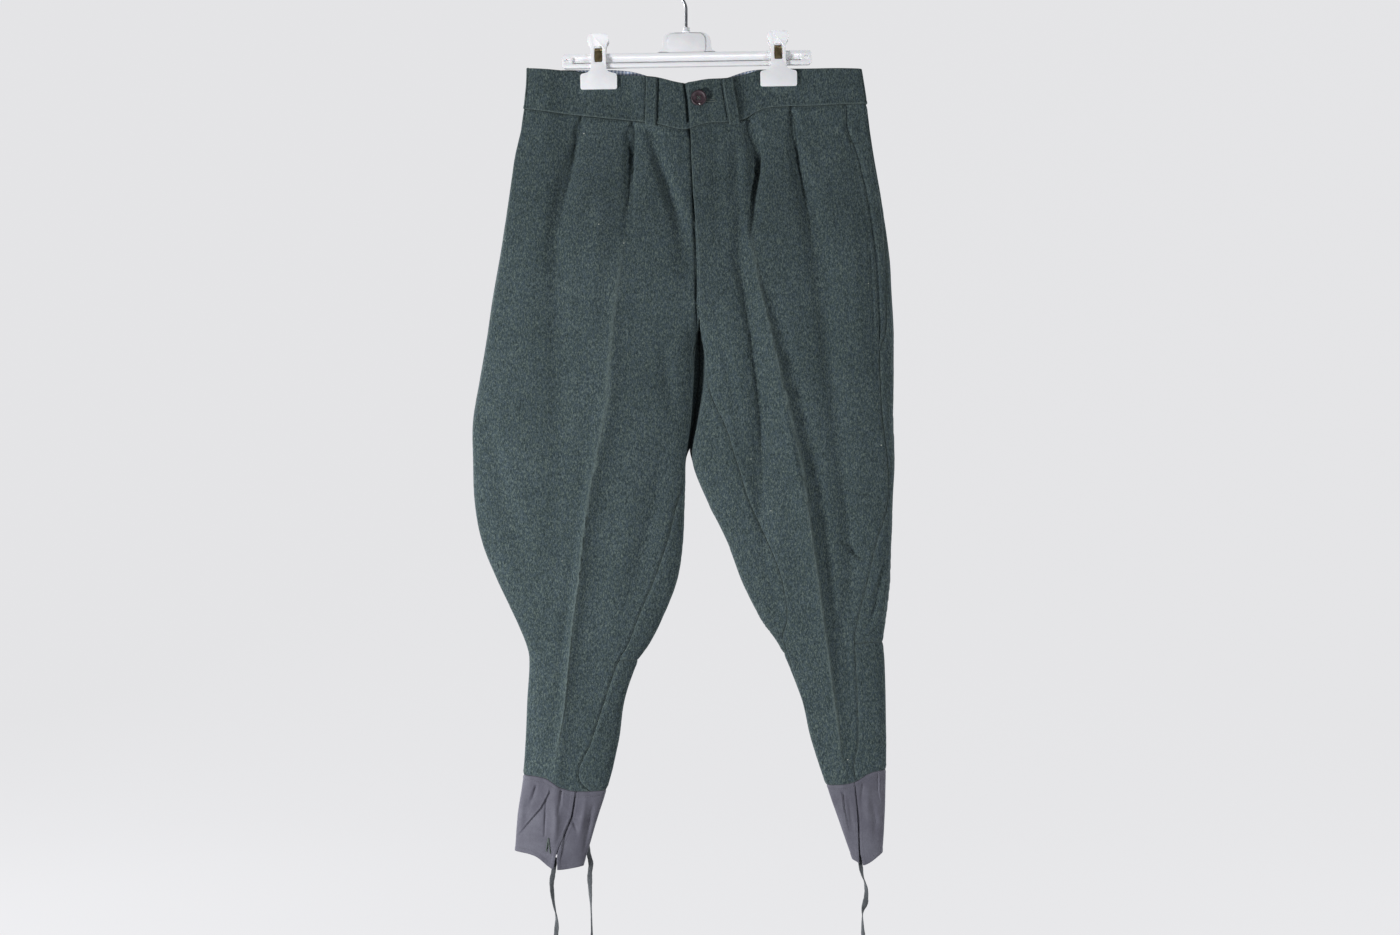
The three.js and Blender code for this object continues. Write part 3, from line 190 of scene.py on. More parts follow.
def swept(name, centres, half_widths, half_depths, turns, sides, corner=50):
    """A flat or round section swept down a line and turned about it."""
    along = np.gradient(centres, axis=0)
    along /= np.linalg.norm(along, axis=1)[:, None]
    across = np.cross(along, (0.0, -1.0, 0.0))
    across /= np.linalg.norm(across, axis=1)[:, None]
    up = np.cross(across, along)
    angle = np.linspace(0, 2 * math.pi, sides, endpoint=False)
    flat_x = np.sign(np.cos(angle)) * np.abs(np.cos(angle)) ** SECTION_POWER
    flat_y = np.sign(np.sin(angle)) * np.abs(np.sin(angle)) ** SECTION_POWER
    cos, sin = np.cos(turns)[:, None], np.sin(turns)[:, None]
    x = half_widths[:, None] * flat_x * cos - half_depths[:, None] * flat_y * sin
    y = half_widths[:, None] * flat_x * sin + half_depths[:, None] * flat_y * cos
    rings = centres[:, None] + x[..., None] * across[:, None] + y[..., None] * up[:, None]
    return mesh_object(name, rings.reshape(-1, 3), tube_faces(len(centres), sides), corner)


ties = {}
for name, route in TIE_ROUTES.items():
    centres, length = spline_through(route, TAPE_STEP)
    heights, degrees = TIE_TURNS[name].T
    turns = np.radians(np.interp(-centres[:, 2], -heights, degrees))
    far = np.arange(len(centres))
    width = TAPE_WIDTH / 2 * (1 + 0.07 * np.sin(far * 0.9) + 0.05 * np.sin(far * 2.3 + 1))
    depth = TAPE_THICK / 2 * (1 + 0.25 * np.sin(far * 0.55 + 2))
    if name in TIE_KNOTS:
        lump = np.exp(-((centres[:, 2] - TIE_KNOTS[name]) / 3.2) ** 2)
        width *= 1 + 0.12 * lump
        depth *= 1 + 2.4 * lump
    tie = swept("twisted_" + name, centres, width, depth, turns, TAPE_SIDES)
    stand_for(tie, name)
    ties[name] = tie
    print(name, "length in metres:", round(length * MM, 3))

# %% [markdown]
# ## The form of the cloth
# The cut of the breeches is held in short tables. Each leg is a row of closed sections from the
# waist down: its two edges as seen from the front, its depth in front and behind, and how far
# in from an edge each seam lies. The solids follow the same tables, so the fine cloth made here
# lies on them. Only the creases are added.

# %% Tables of the cut
def table(columns, text):
    names = columns.split()
    return dict(zip(names, numbers(text, len(names)).T))


LEG_COLUMNS = "z outer inner inseam side facing front back round"
right_rows = table(LEG_COLUMNS, """
    -120 -202 -0.3 0 2 -8 12 12 5, -154 -204 2 0 2 -9 12 12 5, -190 -208.5 4.8 0 4 -10 14 14 4.2,
    -243 -218.7 6.7 0 -1 -15 18 22 3.3, -294 -226.3 9.5 0 -7 -21 21 29 2.8,
    -370 -237.7 16 0 -9 -22 25 36 2.5, -421 -246.6 16 0 -10 -22 26 37 2.4,
    -462 -252.8 16.4 0 -10 -20 26 35 2.4, -488 -257 12.6 0 -10 -10 26 33 2.4,
    -523 -263.1 10.5 0 -10 -10 26 31 2.4, -574 -271.4 7.4 0 -10 -10 26 29 2.4,
    -624 -271.2 0.4 0 -10 -10 25 27 2.4, -675 -269.5 -0.9 9 -10 -10 24 25 2.4,
    -726 -260.6 -2.8 20 -10 -10 22 23 2.4, -777 -240.3 -10.4 30 -9 -9 20 21 2.4,
    -828 -216.2 -30.7 31 -8 -8 18 19 2.4, -859 -203.5 -46.6 27 -8 -8 17 18 2.4,
    -878 -199.8 -59.9 25 -8 -8 16 17 2.4, -929 -202.2 -77.7 25 -8 -8 15 16 2.4,
    -980 -204.7 -85.3 34 -8 -8 13.5 14 2.4, -1031 -208.5 -96.8 37 -8 -8 12 12 2.4,
    -1075 -214.9 -110.7 0 0 0 11 11 2.4, -1143 -219.4 -130.8 0 0 0 10 10 2.4""")
left_rows = table(LEG_COLUMNS, """
    -120 221 -0.3 0 2 0 12 12 5, -154 227.1 2 0 2 0 12 12 5, -190 232.2 4.8 0 29 1.3 14 14 4.2,
    -243 239.8 6.7 0 22 1.5 18 22 3.3, -294 248.7 9.5 0 20 2 21 29 2.8,
    -370 258.8 16 0 20 5.4 25 36 2.5, -421 261.4 16 0 19.5 8 26 37 2.4,
    -462 263.6 17.2 0 19.8 11 26 35 2.4, -488 264 21.6 0 19.6 19.6 26 33 2.4,
    -523 263.9 22 4 18.5 18.5 26 31 2.4, -574 263.3 13.7 32 15 15 26 29 2.4,
    -624 264.8 6.9 56 10 10 25 27 2.4, -675 262.6 25.1 54 7 7 24 25 2.4,
    -726 261.4 50.5 51 20 20 22 23 2.4, -777 259.6 69.6 51 30 30 20 21 2.4,
    -828 253.7 95 32 37 37 18 19 2.4, -853 250.6 113 9 38 38 17 18 2.4,
    -878 252.2 126.7 3 38 38 16 17 2.4, -929 253.7 145.8 0 37 37 15 16 2.4,
    -980 254.8 158.5 -2 37 37 13.5 14 2.4, -1031 254.1 175 -2 36 36 12 12 2.4,
    -1075 252.9 190.9 0 0 0 11 11 2.4, -1143 248.4 214 0 0 0 10 10 2.4""")
WAIST = table("x front back seam back_seam", """
    -208 -127.1 -126.8 -178.4 -178.4, -168 -129.7 -128.5 -183.7 -181.5,
    -135 -132 -129.1 -187.5 -184.5, -100 -135.5 -128.6 -191.3 -187, -72 -137 -130.5 -194 -189,
    -52 -138 -134.8 -196.4 -190.5, -37 -139.6 -140.4 -198.4 -191.5, -15 -145 -147.2 -204 -193,
    0 -146.9 -149.6 -205.3 -193.5, 27 -142.4 -144.5 -197.9 -192.5, 53 -140.4 -137.4 -196.2 -190.5,
    73 -136.1 -131.6 -192.6 -188, 90 -130.4 -128.5 -182.4 -185.5, 108 -128.8 -128.2 -176.9 -182.5,
    164 -127.8 -127.8 -174.8 -176, 232 -128.2 -128.2 -172.3 -172.3""")
WAIST_DEPTH = table("x front back", """
    -210 7 8, -180 8 10, -147 4.2 4.2, -77 4.2 4.2, -44 8.5 10, 5 12 16, 50 9 10, 81 4.2 4.2,
    151 4.2 4.2, 196 8 10, 232 7 8""")
KNEE_SEAM = {
    "right": table("x z", """
    -210 -874, -50 -879"""),
    "left": table("x z", """
    120 -870.8, 215 -856, 252 -855"""),
}
CUFF_SEAM = {
    "right": table("x front back", """
    -210 -1023 -1023, -179 -1027 -1029, -160 -1038 -1032.2, -141 -1043.5 -1035.6,
    -97 -1043.5 -1043.5"""),
    "left": table("x front back", """
    175 -1037.2 -1037.2, 212 -1032.1 -1028.2, 233 -1020.6 -1022.8, 255 -1016.8 -1016.8"""),
}
HEM = {
    "right": table("x front back", """
    -219 -1119.7 -1119.7, -191 -1126 -1123, -168 -1142 -1127, -130 -1139.5 -1135, -122 -1138 -1138"""),
    "left": table("x front back", """
    206 -1130 -1130, 214 -1132.6 -1128, 226 -1137 -1126, 250 -1122 -1122"""),
}
SLIT = {
    "right": table("z x open", """
    -1023 -139 0.4, -1054 -141.6 0.4, -1080 -146.3 0.5, -1122 -163 1.2, -1142 -165.4 5"""),
    "left": table("z x open", """
    -1016 212 0.4, -1075 216.9 0.4, -1115 218.8 1.2, -1140 221.5 5"""),
}

# %% [markdown]
# ## Pleats and pressed creases
# The largest folds are tables too: the line that a fold follows, its height, which is negative
# for a valley, and its half width. The laps, where the cloth beside a pleat lies under the pleat's
# edge and makes the crisp dark line under the waistband, are strokes further on.

# %% Tables of the folds
FOLD_COLUMNS = "z x height width"
FOLDS = {
    "right": {
        "outer_pleat": table(FOLD_COLUMNS, """
    -170 -131.5 -1.6 3.5, -230 -141.2 -3 5, -275 -152.7 -2.6 9, -340 -163.5 -2.2 14,
    -421 -160.3 -1.6 16, -700 -160.3 -0.8 18, -1050 -182 0 18"""),
        "crease": table(FOLD_COLUMNS, """
    -185 -70 -4.2 3.5, -256 -72.6 -3.6 4, -320 -72.6 -1.4 7, -402 -87.9 1.6 11, -561 -98 3 12,
    -688 -126 4 11, -783 -136.1 4 10, -878 -147.6 3.4 9, -974 -157.7 2.4 9, -1050 -166 1.4 9"""),
        "fly_pleat": table(FOLD_COLUMNS, """
    -190 -49 -1.6 7, -243 -34.5 -3.2 8, -284 -19.3 -3.4 8, -344 -9 -2.6 9, -421 -8 -1 12,
    -560 -25 0 14, -1050 -135 0 14"""),
    },
    "left": {
        "fly_valley": table(FOLD_COLUMNS, """
    -190 62 0 8, -275 65.8 -2.4 8, -370 68.3 -4 9, -434 77.2 -4 10, -561 92.5 -4.4 11,
    -688 94.5 -4 11, -783 108 -2.6 11, -853 130 -1 10, -1050 184 0 8"""),
        "crease": table(FOLD_COLUMNS, """
    -185 72.5 -3.8 3.5, -238 87.9 -4.4 4.5, -307 84.8 -3 6, -370 84.6 0.6 7, -434 98 2.6 9,
    -561 124.2 4 12, -688 149.6 5 12, -815 171.2 4.4 10, -942 190.2 3 9, -1050 199.5 1.6 8"""),
        "side_pleat": table(FOLD_COLUMNS, """
    -168 133.1 -1.6 3.5, -243 138.2 -3.4 5, -307 149.6 -3 9, -434 169.9 -2.6 12, -624 195.3 -3 12,
    -726 208 -3.4 10, -802 209 -1.6 9, -878 207 0 8, -1050 206 0 8"""),
    },
}
BACK_FOLDS = {
    "right": {
        "crease": table(FOLD_COLUMNS, """
    -185 -95 -2 8, -300 -92 0 10, -561 -112 3 12, -783 -135 3.4 11, -1050 -156 1.4 9"""),
    },
    "left": {
        "crease": table(FOLD_COLUMNS, """
    -185 105 -2 8, -300 106 0 10, -561 138 3 12, -783 164 3.4 11, -1050 206 1.4 9"""),
    },
}

# %% [markdown]
# ## From tables to a surface
# A smooth curve runs through each table. At any height, a leg's section is a rounded oblong. Its
# point is found by an angle: 0 at the inner edge, a quarter turn in front, a half turn at the
# outer edge, and negative behind. Whole arrays of points are worked out in one go, which keeps
# the script quick.

# %% Curves and sections
def spot(rows, at, by):
    knots = rows[by]
    side = -1 if knots[0] > knots[-1] else 1
    i = np.clip(np.searchsorted(side * knots, side * np.asarray(at)) - 1, 0, len(knots) - 2)
    span = knots[i + 1] - knots[i]
    return i, np.clip((at - knots[i]) / span, 0, 1), span


def curve(rows, key, at, by="z"):
    i, share, span = spot(rows, at, by)
    value, knots, order = rows[key], rows[by], np.arange(len(rows[by]))
    before, after = np.maximum(order - 1, 0), np.minimum(order + 1, len(knots) - 1)
    slope = (value[after] - value[before]) / (knots[after] - knots[before])
    square, cube = share ** 2, share ** 3
    return ((2 * cube - 3 * square + 1) * value[i] + (cube - 2 * square + share) * span * slope[i]
            + (3 * square - 2 * cube) * value[i + 1] + (cube - square) * span * slope[i + 1])


def eased(rows, key, at, by="z"):
    i, share, _ = spot(rows, at, by)
    return rows[key][i] + (rows[key][i + 1] - rows[key][i]) * smooth_step(share)


legs = {
    "right": {"name": "right", "way": 1, "rows": right_rows, "front": FOLDS["right"],
              "back": BACK_FOLDS["right"]},
    "left": {"name": "left", "way": -1, "rows": left_rows, "front": FOLDS["left"],
             "back": BACK_FOLDS["left"]},
}


def no_reach(z):
    return 0 * z


def section(leg, z, reach=no_reach):
    inner = curve(leg["rows"], "inner", z) + reach(z)
    outer = curve(leg["rows"], "outer", z)
    return (inner + outer) / 2, np.abs(inner - outer) / 2, curve(leg["rows"], "round", z)


def angle_of(share, power):
    u = np.clip(share, -1, 1)
    return np.arctan2((1 - np.abs(u) ** power) ** (1 / power), u)


def angle_at_x(leg, z, x, reach=no_reach):
    middle, half, power = section(leg, z, reach)
    return angle_of(leg["way"] * (x - middle) / half, power)


def angle_at_inset(leg, z, inset, edge):
    _, half, power = section(leg, z)
    share = 1 - np.abs(inset) / half
    angle = angle_of(share if edge == "inner" else -share, power)
    behind = -angle if edge == "inner" else 2 * math.pi - angle
    return np.where(inset >= 0, angle, behind)


# %% [markdown]
# The waist is pinched by the clips and opens between and beside them. Under it, the depth eases
# into the leg's own fullness. Where the legs part, the section closes in a round fork. Under the
# fly, the right front lies a little deeper, as the left one laps over it.

# %% The cloth's face
FORK = (-412, -462)
FOLD_DEPTH = 1.9  # the fine cloth falls deeper into its folds than the plain solids do


def fork_share(z, u):
    """The fork closes in a round at the inner edge and dies away softly across the thigh."""
    t = np.clip((FORK[0] - z) / (FORK[0] - FORK[1]), 0, 1)
    near = fade(u, 0.8, 0.99)
    return near * (1 - np.sqrt(1 - t * t)) + (1 - near) * fade(z, -395, -530)


def fold_height(folds, x, z):
    total = 0 * x
    for rows in folds.values():
        across = (x - curve(rows, "x", z)) / eased(rows, "width", z)
        total += eased(rows, "height", z) / (1 + across * across)
    return total


def seam_at(x, is_front):
    return np.where(is_front, curve(WAIST, "seam", x, "x"), curve(WAIST, "back_seam", x, "x"))


def cloth_point(leg, z, angle, reach=no_reach):
    middle, half, power = section(leg, z, reach)
    cos, sin = np.cos(angle), np.sin(angle)
    norm = (np.abs(cos) ** power + np.abs(sin) ** power) ** (1 / power)
    u, v = cos / norm, sin / norm
    x = middle + leg["way"] * half * u
    is_front = v >= 0
    both = []
    for key in ("front", "back"):
        waist = eased(WAIST_DEPTH, key, x, "x")
        depth = waist + (curve(leg["rows"], key, z) - waist) * fade(z, -200, -350)
        both.append((depth, fold_height(leg[key], x, z)))
    depth = np.where(is_front, both[0][0], both[1][0])
    folds = np.where(is_front, both[0][1], both[1][1])
    seam = seam_at(x, is_front)
    folds = FOLD_DEPTH * folds * fade(z, seam, seam - 14) * np.abs(v) ** 1.5
    full = np.where(u > 0, 1 - fork_share(z, u) * (1 - np.abs(v)), np.abs(v))
    recess = 0 * x
    if leg["name"] == "right":
        centre = curve(leg["rows"], "inner", z)
        step = 3.7 + (2.8 - 3.7) * fade(z, -206, -236)
        recess = step * (1 - fade(z, -436, -460)) * fade(x, centre - 30, centre - 3)
    y = np.where(is_front, -1, 1) * (depth * full + folds - np.where(is_front, recess, 0))
    return np.stack(np.broadcast_arrays(x, y, z), -1)


def cloth_normal(leg, z, angle, reach=no_reach):
    around = (cloth_point(leg, z, angle + 0.004, reach) - cloth_point(leg, z, angle - 0.004, reach))
    up = cloth_point(leg, z + 1.5, angle, reach) - cloth_point(leg, z - 1.5, angle, reach)
    normal = np.cross(around, up) * -leg["way"]
    return normal / np.linalg.norm(normal, axis=-1, keepdims=True)


def step_along(leg, z, angle, distance, reach=no_reach):
    """The angle that lies a short way along the cloth from another."""
    sign = np.sign(distance)
    start = cloth_point(leg, z, angle + sign * 1e-6, reach)
    near, far = 0 * z, 0 * z + sign * 0.6
    for _ in range(22):
        half = (near + far) / 2
        gone = np.linalg.norm(cloth_point(leg, z, angle + half, reach) - start, axis=-1)
        near = np.where(gone < abs(distance), half, near)
        far = np.where(gone < abs(distance), far, half)
    return angle + far


# %% [markdown]
# ## Creases placed one by one
# The tables hold the great folds. The finer creases are strokes: points across and down with a
# depth and a half width, in the kinds that heavy felted wool shows. A trough or ridge is soft. A
# lap is a pleat's edge, where one side lies lower at once and comes back slowly. A crest is the
# thin line that a hot iron leaves. Each pleat differs from the next, and the back has creases of
# the same kinds.

# %% Strokes
def strokes_in(text):
    """A stroke is its kind, its lower side (1 towards +X, -1 towards -X, 0 for none) and its points
    (x, z, depth, half width), and ends with a semicolon."""
    strokes = []
    for stroke in text.split(";")[:-1]:
        kind, lower, points = stroke.split(None, 2)
        strokes.append((kind, int(lower), numbers(points, 4)))
    return strokes


STROKES = {
    ("right", "front"): strokes_in("""
trough 0 -70.9 -192.6 2.3 1.5, -70.1 -252.3 2.53 1.5, -73.2 -300.6 1.38 2, -77.8 -345 0 3;
trough 0 -133.6 -188.8 2.07 1.5, -139.3 -230.7 2.07 1.7, -148.9 -271.3 0.92 2.5, -156.5 -306.9 0 4;
crest -1 -77.8 -338.6 0 1.5, -84.1 -389.4 0.66 1.5, -93 -459.3 0.95 1.5, -99.3 -529.1 0.76 1.5,
  -101.9 -563.4 0 1.5;
lap -1 -128.5 -183.7 2.34 1.2, -134.9 -202.8 2.7 1.2, -138.7 -221.8 2.7 1.3,
  -143.8 -249.8 2.34 1.6, -151.4 -287.9 1.62 2.2, -160.3 -343.7 0 3;
trough 0 -147.6 -230.7 0 8, -156.5 -281.5 3.22 11, -164.1 -345 4.14 13, -165.4 -421.2 2.3 15,
  -161.6 -522.8 1.84 16, -157.8 -637.1 0 18;
lap 1 -70.6 -190.1 3.96 1.2, -72 -221.8 4.32 1.2, -72.7 -245.9 3.6 1.4, -70.1 -273.9 1.8 2,
  -68.9 -309.4 0.54 3, -73.9 -357.7 0 3;
trough 0 -46 -215.5 0 5, -34.6 -249.8 2.3 6, -23.1 -281.5 3.45 7, -11.7 -312 3.68 8,
  1 -353.9 2.3 9, 7.3 -408.5 0 9;
trough 0 -58.7 -202.8 1.84 3, -39.6 -210.4 1.38 5, -23.1 -220.5 0 5;
trough 0 -211.1 -385.6 0 7, -220 -416.1 2.53 8, -228.9 -449.1 2.07 9, -240.3 -487.2 0 9;
ridge 0 -104.4 -268.8 0 9, -109.5 -332.3 1.98 12, -117.1 -421.2 2.64 14, -122.2 -497.4 0 16;
crest -1 -89.2 -516.5 0 1.3, -100.6 -558.4 0.95 1.3, -112 -614.2 1.33 1.3, -122.2 -670.1 1.52 1.3,
  -129.8 -723.5 1.61 1.3, -136.2 -780.6 1.61 1.3, -143.8 -834 1.61 1.3, -148.9 -886 1.61 1.3,
  -154 -939.4 1.52 1.3, -160.3 -974.9 1.14 1.3, -169.2 -1018.1 0 1.3;
trough 0 -114.6 -548.2 0 7, -128.5 -624.4 2.3 8, -138.7 -713.3 2.53 9, -147.6 -789.5 2.3 8,
  -157.8 -865.7 2.07 7, -164.1 -941.9 1.61 6, -174.3 -1005.4 0 5;
ridge 0 -58.7 -586.3 0 14, -68.9 -675.2 2.64 18, -84.1 -764.1 2.2 16, -104.4 -840.3 0 14;
trough 0 -23.1 -573.6 0 10, -32 -649.8 2.3 11, -52.4 -738.7 2.07 10, -71.4 -802.2 0 10;
trough 0 -259.4 -548.2 0 9, -246.7 -599 2.76 12, -228.9 -675.2 2.76 14, -206 -751.4 1.38 14,
  -190.8 -814.9 0 12;
trough 0 -190.8 -853 0 4, -179.4 -865.7 1.84 5, -160.3 -870.8 0 5;
trough 0 -104.4 -883.5 0 4, -119.7 -893.6 1.38 5, -137.4 -898.7 0 5;
ridge 0 -185.7 -929.2 0 8, -185.7 -980 1.32 8, -190.8 -1015.6 0 8;
trough 0 -28.2 -459.3 0 8, -23.1 -522.8 2.3 9, -13 -586.3 0 9;
trough 0 2.8 -197.7 2.99 1.7, 8.1 -221.8 3.45 1.8, 9.1 -259.9 3.22 1.7, 10.4 -309.4 2.76 1.6,
  12.4 -367.9 2.53 1.6, 13.2 -422.5 2.76 1.7, 13.7 -454.2 3.68 2.2, 12.4 -487.2 2.76 2.4,
  7.3 -522.8 0 2.4;"""),
    ("left", "front"): strokes_in("""
trough 0 202.3 -197.7 0.92 1.6, 217.5 -261.2 1.61 1.6, 230.9 -341.2 1.61 1.6,
  237.2 -455.5 1.38 1.6, 241.7 -555.8 0.69 1.6;
trough 0 131.2 -182.4 1.84 1.5, 136.4 -218 2.07 1.6, 143.2 -256.1 1.38 2.2, 152.1 -301.8 0 3;
trough 0 78.5 -197.7 2.3 1.5, 86.1 -225.6 2.76 1.6, 88.6 -253.6 2.3 1.8, 83.5 -294.2 1.15 2.2,
  78.5 -327.2 0 3;
lap 1 70.8 -187.5 5.4 1.4, 78.5 -202.8 6.48 1.4, 84 -219.3 7.02 1.5, 88.2 -239.6 6.66 1.6,
  87.4 -263.7 5.22 1.8, 82.3 -287.9 3.42 2.2, 79.7 -329.8 1.8 3, 83.5 -367.9 0 3;
ridge 0 70.8 -205.3 0 5, 74.6 -230.7 2.2 6, 73.4 -263.7 2.64 7, 65.8 -306.9 1.76 8,
  60.7 -357.7 0 9;
crest 1 78.5 -327.2 0 1.4, 86.1 -366.6 1.14 1.4, 92.4 -402.1 1.71 1.4, 101.3 -437.7 1.9 1.4,
  117.2 -507.6 2.09 1.4, 133.1 -571.1 2.09 1.4, 147 -632 2.09 1.4, 155.9 -701.9 2.09 1.4,
  164.8 -764.1 1.9 1.4, 173.7 -827.6 1.71 1.4, 182.6 -891.1 1.71 1.4, 192.8 -967.3 1.14 1.4,
  199.1 -1024.5 0 1.4;
trough 0 101.3 -395.8 0 8, 119.1 -459.3 2.53 9, 139.4 -535.5 2.99 10, 158.5 -611.7 2.99 10,
  172.4 -700.6 2.76 9, 181.3 -789.5 2.3 8, 190.2 -865.7 1.38 7, 197.8 -929.2 0 6;
lap 1 55.6 -360.2 0 2.4, 65.8 -402.1 1.44 2.4, 75.9 -459.3 1.98 2.6, 84.8 -522.8 2.16 2.6,
  91.2 -586.3 1.98 3, 95 -649.8 1.26 3, 96.2 -700.6 0 3;
lap 1 131 -177 3.42 1.2, 134.3 -204.9 3.78 1.2, 138.1 -239.6 3.78 1.5, 143.2 -274.5 3.06 2,
  150.2 -309.4 2.16 2.6, 159.7 -361.5 1.08 3, 169.9 -408.5 0 3;
trough 0 144.5 -230.7 0 6, 155.9 -281.5 3.68 9, 168.6 -345 4.6 11, 177.5 -408.5 4.14 12,
  182.6 -484.7 2.99 12, 192.8 -560.9 2.07 12, 202.9 -624.4 0 12;
trough 0 212.4 -665 2.07 1.7, 228.3 -668.2 2.53 1.8, 246.1 -668.9 1.84 1.8;
lap 1 190.2 -723.5 0 1.6, 200.4 -733.6 3.42 1.7, 212.4 -745.7 3.96 1.8, 220.7 -750.8 2.52 1.8,
  229.6 -753.9 0 1.6;
ridge 0 205.5 -713.3 0 6, 218.2 -733.6 2.64 6, 230.9 -743.8 0 5;
trough 0 56.9 -710.8 0 3, 73.4 -724.7 1.84 3.5, 89.9 -738.7 1.15 4, 103.9 -748.9 0 4;
ridge 0 17.5 -421.2 0 3, 26.4 -431.4 1.98 3.5, 36.6 -432.6 0 3;
ridge 0 17.5 -444.1 0 3, 27.7 -452.9 1.98 4, 39.1 -449.1 0 3;
trough 0 17.5 -432.6 0 2.5, 27.7 -441.5 1.84 3, 40.4 -440.2 0 3;
trough 0 37.8 -421.2 0 5, 45.4 -478.4 2.07 6, 59.4 -541.9 1.84 7, 74.6 -599 0 7;
trough 0 32.7 -202.8 0 4, 37.8 -256.1 1.15 7, 40.4 -319.6 1.15 8, 37.8 -383.1 0 8;
ridge 0 197.8 -268.8 0 10, 210.5 -357.7 2.2 12, 218.2 -459.3 2.2 12, 223.2 -560.9 0 12;
trough 0 96.2 -776.8 0 7, 114 -827.6 2.76 8, 133.1 -865.7 1.84 6, 144.5 -888.6 0 5;
trough 0 126.7 -870.8 0 2.5, 139.4 -878.4 2.53 3, 152.1 -893.6 0 4;
trough 0 202.9 -776.8 0 5, 197.8 -827.6 2.07 6, 202.9 -878.4 1.84 5, 208 -929.2 0 5;
lap 1 253.7 -708.2 0 1.6, 249.9 -736.2 2.52 1.8, 246.1 -762.8 2.88 2, 239.8 -789.5 2.7 2,
  234.7 -814.9 2.16 2, 225.8 -840.3 0 2;
trough 0 223.2 -847.9 1.38 1.6, 235.9 -842.8 2.07 1.8, 251.2 -827.6 1.38 2, 256.3 -802.2 0 2;
ridge 0 253.7 -751.4 0 4, 251.2 -789.5 2.2 5, 242.3 -825.1 2.2 5, 228.3 -845.4 0 4;
trough 0 169.9 -929.2 0 6, 175 -973.7 1.38 6, 177.5 -1015.6 0 5;"""),
    ("right", "back"): strokes_in("""
lap 1 -109.5 -172.3 1.89 1.6, -112 -205.3 2.16 1.8, -114.6 -240.9 1.35 2.4, -114.6 -276.4 0 3;
trough 0 -160.3 -230.7 0 9, -170.5 -319.6 5.52 13, -175.5 -446.6 4.83 16, -165.4 -573.6 0 16;
trough 0 -0.3 -421.2 0 8, -23.1 -459.3 6.21 8, -58.7 -492.3 5.17 9, -101.9 -512.6 0 9;
trough 0 -2.8 -472 0 7, -30.8 -512.6 6.9 8, -73.9 -545.7 5.17 8, -124.7 -560.9 0 8;
trough 0 -7.9 -533 0 6, -43.5 -573.6 5.17 7, -89.2 -599 3.45 8, -134.9 -609.2 0 8;
crest 1 -99.3 -548.2 0 1.4, -109.5 -637.1 2.28 1.4, -124.7 -726 2.56 1.4, -137.4 -827.6 2.56 1.4,
  -152.7 -929.2 2.28 1.4, -165.4 -1018.1 0 1.4;
trough 0 -185.7 -787 0 5, -152.7 -802.2 5.52 6, -114.6 -802.2 4.48 6, -76.5 -789.5 0 5;
trough 0 -175.5 -830.1 0 4, -147.6 -842.8 6.21 5, -112 -842.8 5.17 5, -89.2 -832.7 0 4;
trough 0 -236.5 -599 0 10, -216.2 -675.2 5.17 12, -185.7 -751.4 3.45 11, -170.5 -802.2 0 9;
trough 0 -175.5 -883.5 0 4, -145.1 -888.6 3.45 4, -112 -883.5 0 4;"""),
    ("left", "back"): strokes_in("""
lap -1 108.9 -174.8 1.89 1.6, 111.5 -207.8 2.16 1.8, 115.3 -243.4 1.35 2.4, 116.6 -281.5 0 3;
trough 0 182.6 -218 0 9, 192.8 -319.6 5.86 12, 192.8 -433.9 4.48 15, 177.5 -573.6 0 16;
trough 0 20 -428.8 0 8, 45.4 -472 5.52 8, 81 -502.5 4.83 8, 126.7 -517.7 0 9;
trough 0 25.1 -487.2 0 7, 53.1 -527.9 6.55 7, 96.2 -553.3 5.17 8, 144.5 -563.4 0 8;
trough 0 32.7 -550.7 0 6, 68.3 -583.8 4.83 7, 114 -606.6 3.79 8, 159.7 -611.7 0 8;
crest -1 124.2 -535.5 0 1.4, 139.4 -637.1 2.28 1.4, 154.7 -738.7 2.56 1.4, 167.4 -840.3 2.56 1.4,
  185.1 -941.9 2.28 1.4, 197.8 -1018.1 0 1.4;
trough 0 106.4 -789.5 0 5, 134.3 -807.3 5.17 6, 172.4 -807.3 4.83 6, 215.6 -794.6 0 5;
trough 0 131.8 -830.1 0 4, 154.7 -842.8 6.21 5, 187.7 -842.8 4.83 5, 223.2 -830.1 0 4;
trough 0 246.1 -522.8 0 10, 230.9 -611.7 4.83 12, 210.5 -700.6 3.45 10, 202.9 -776.8 0 9;
trough 0 159.7 -875.9 0 4, 185.1 -883.5 3.1 4, 218.2 -875.9 0 4;"""),
}
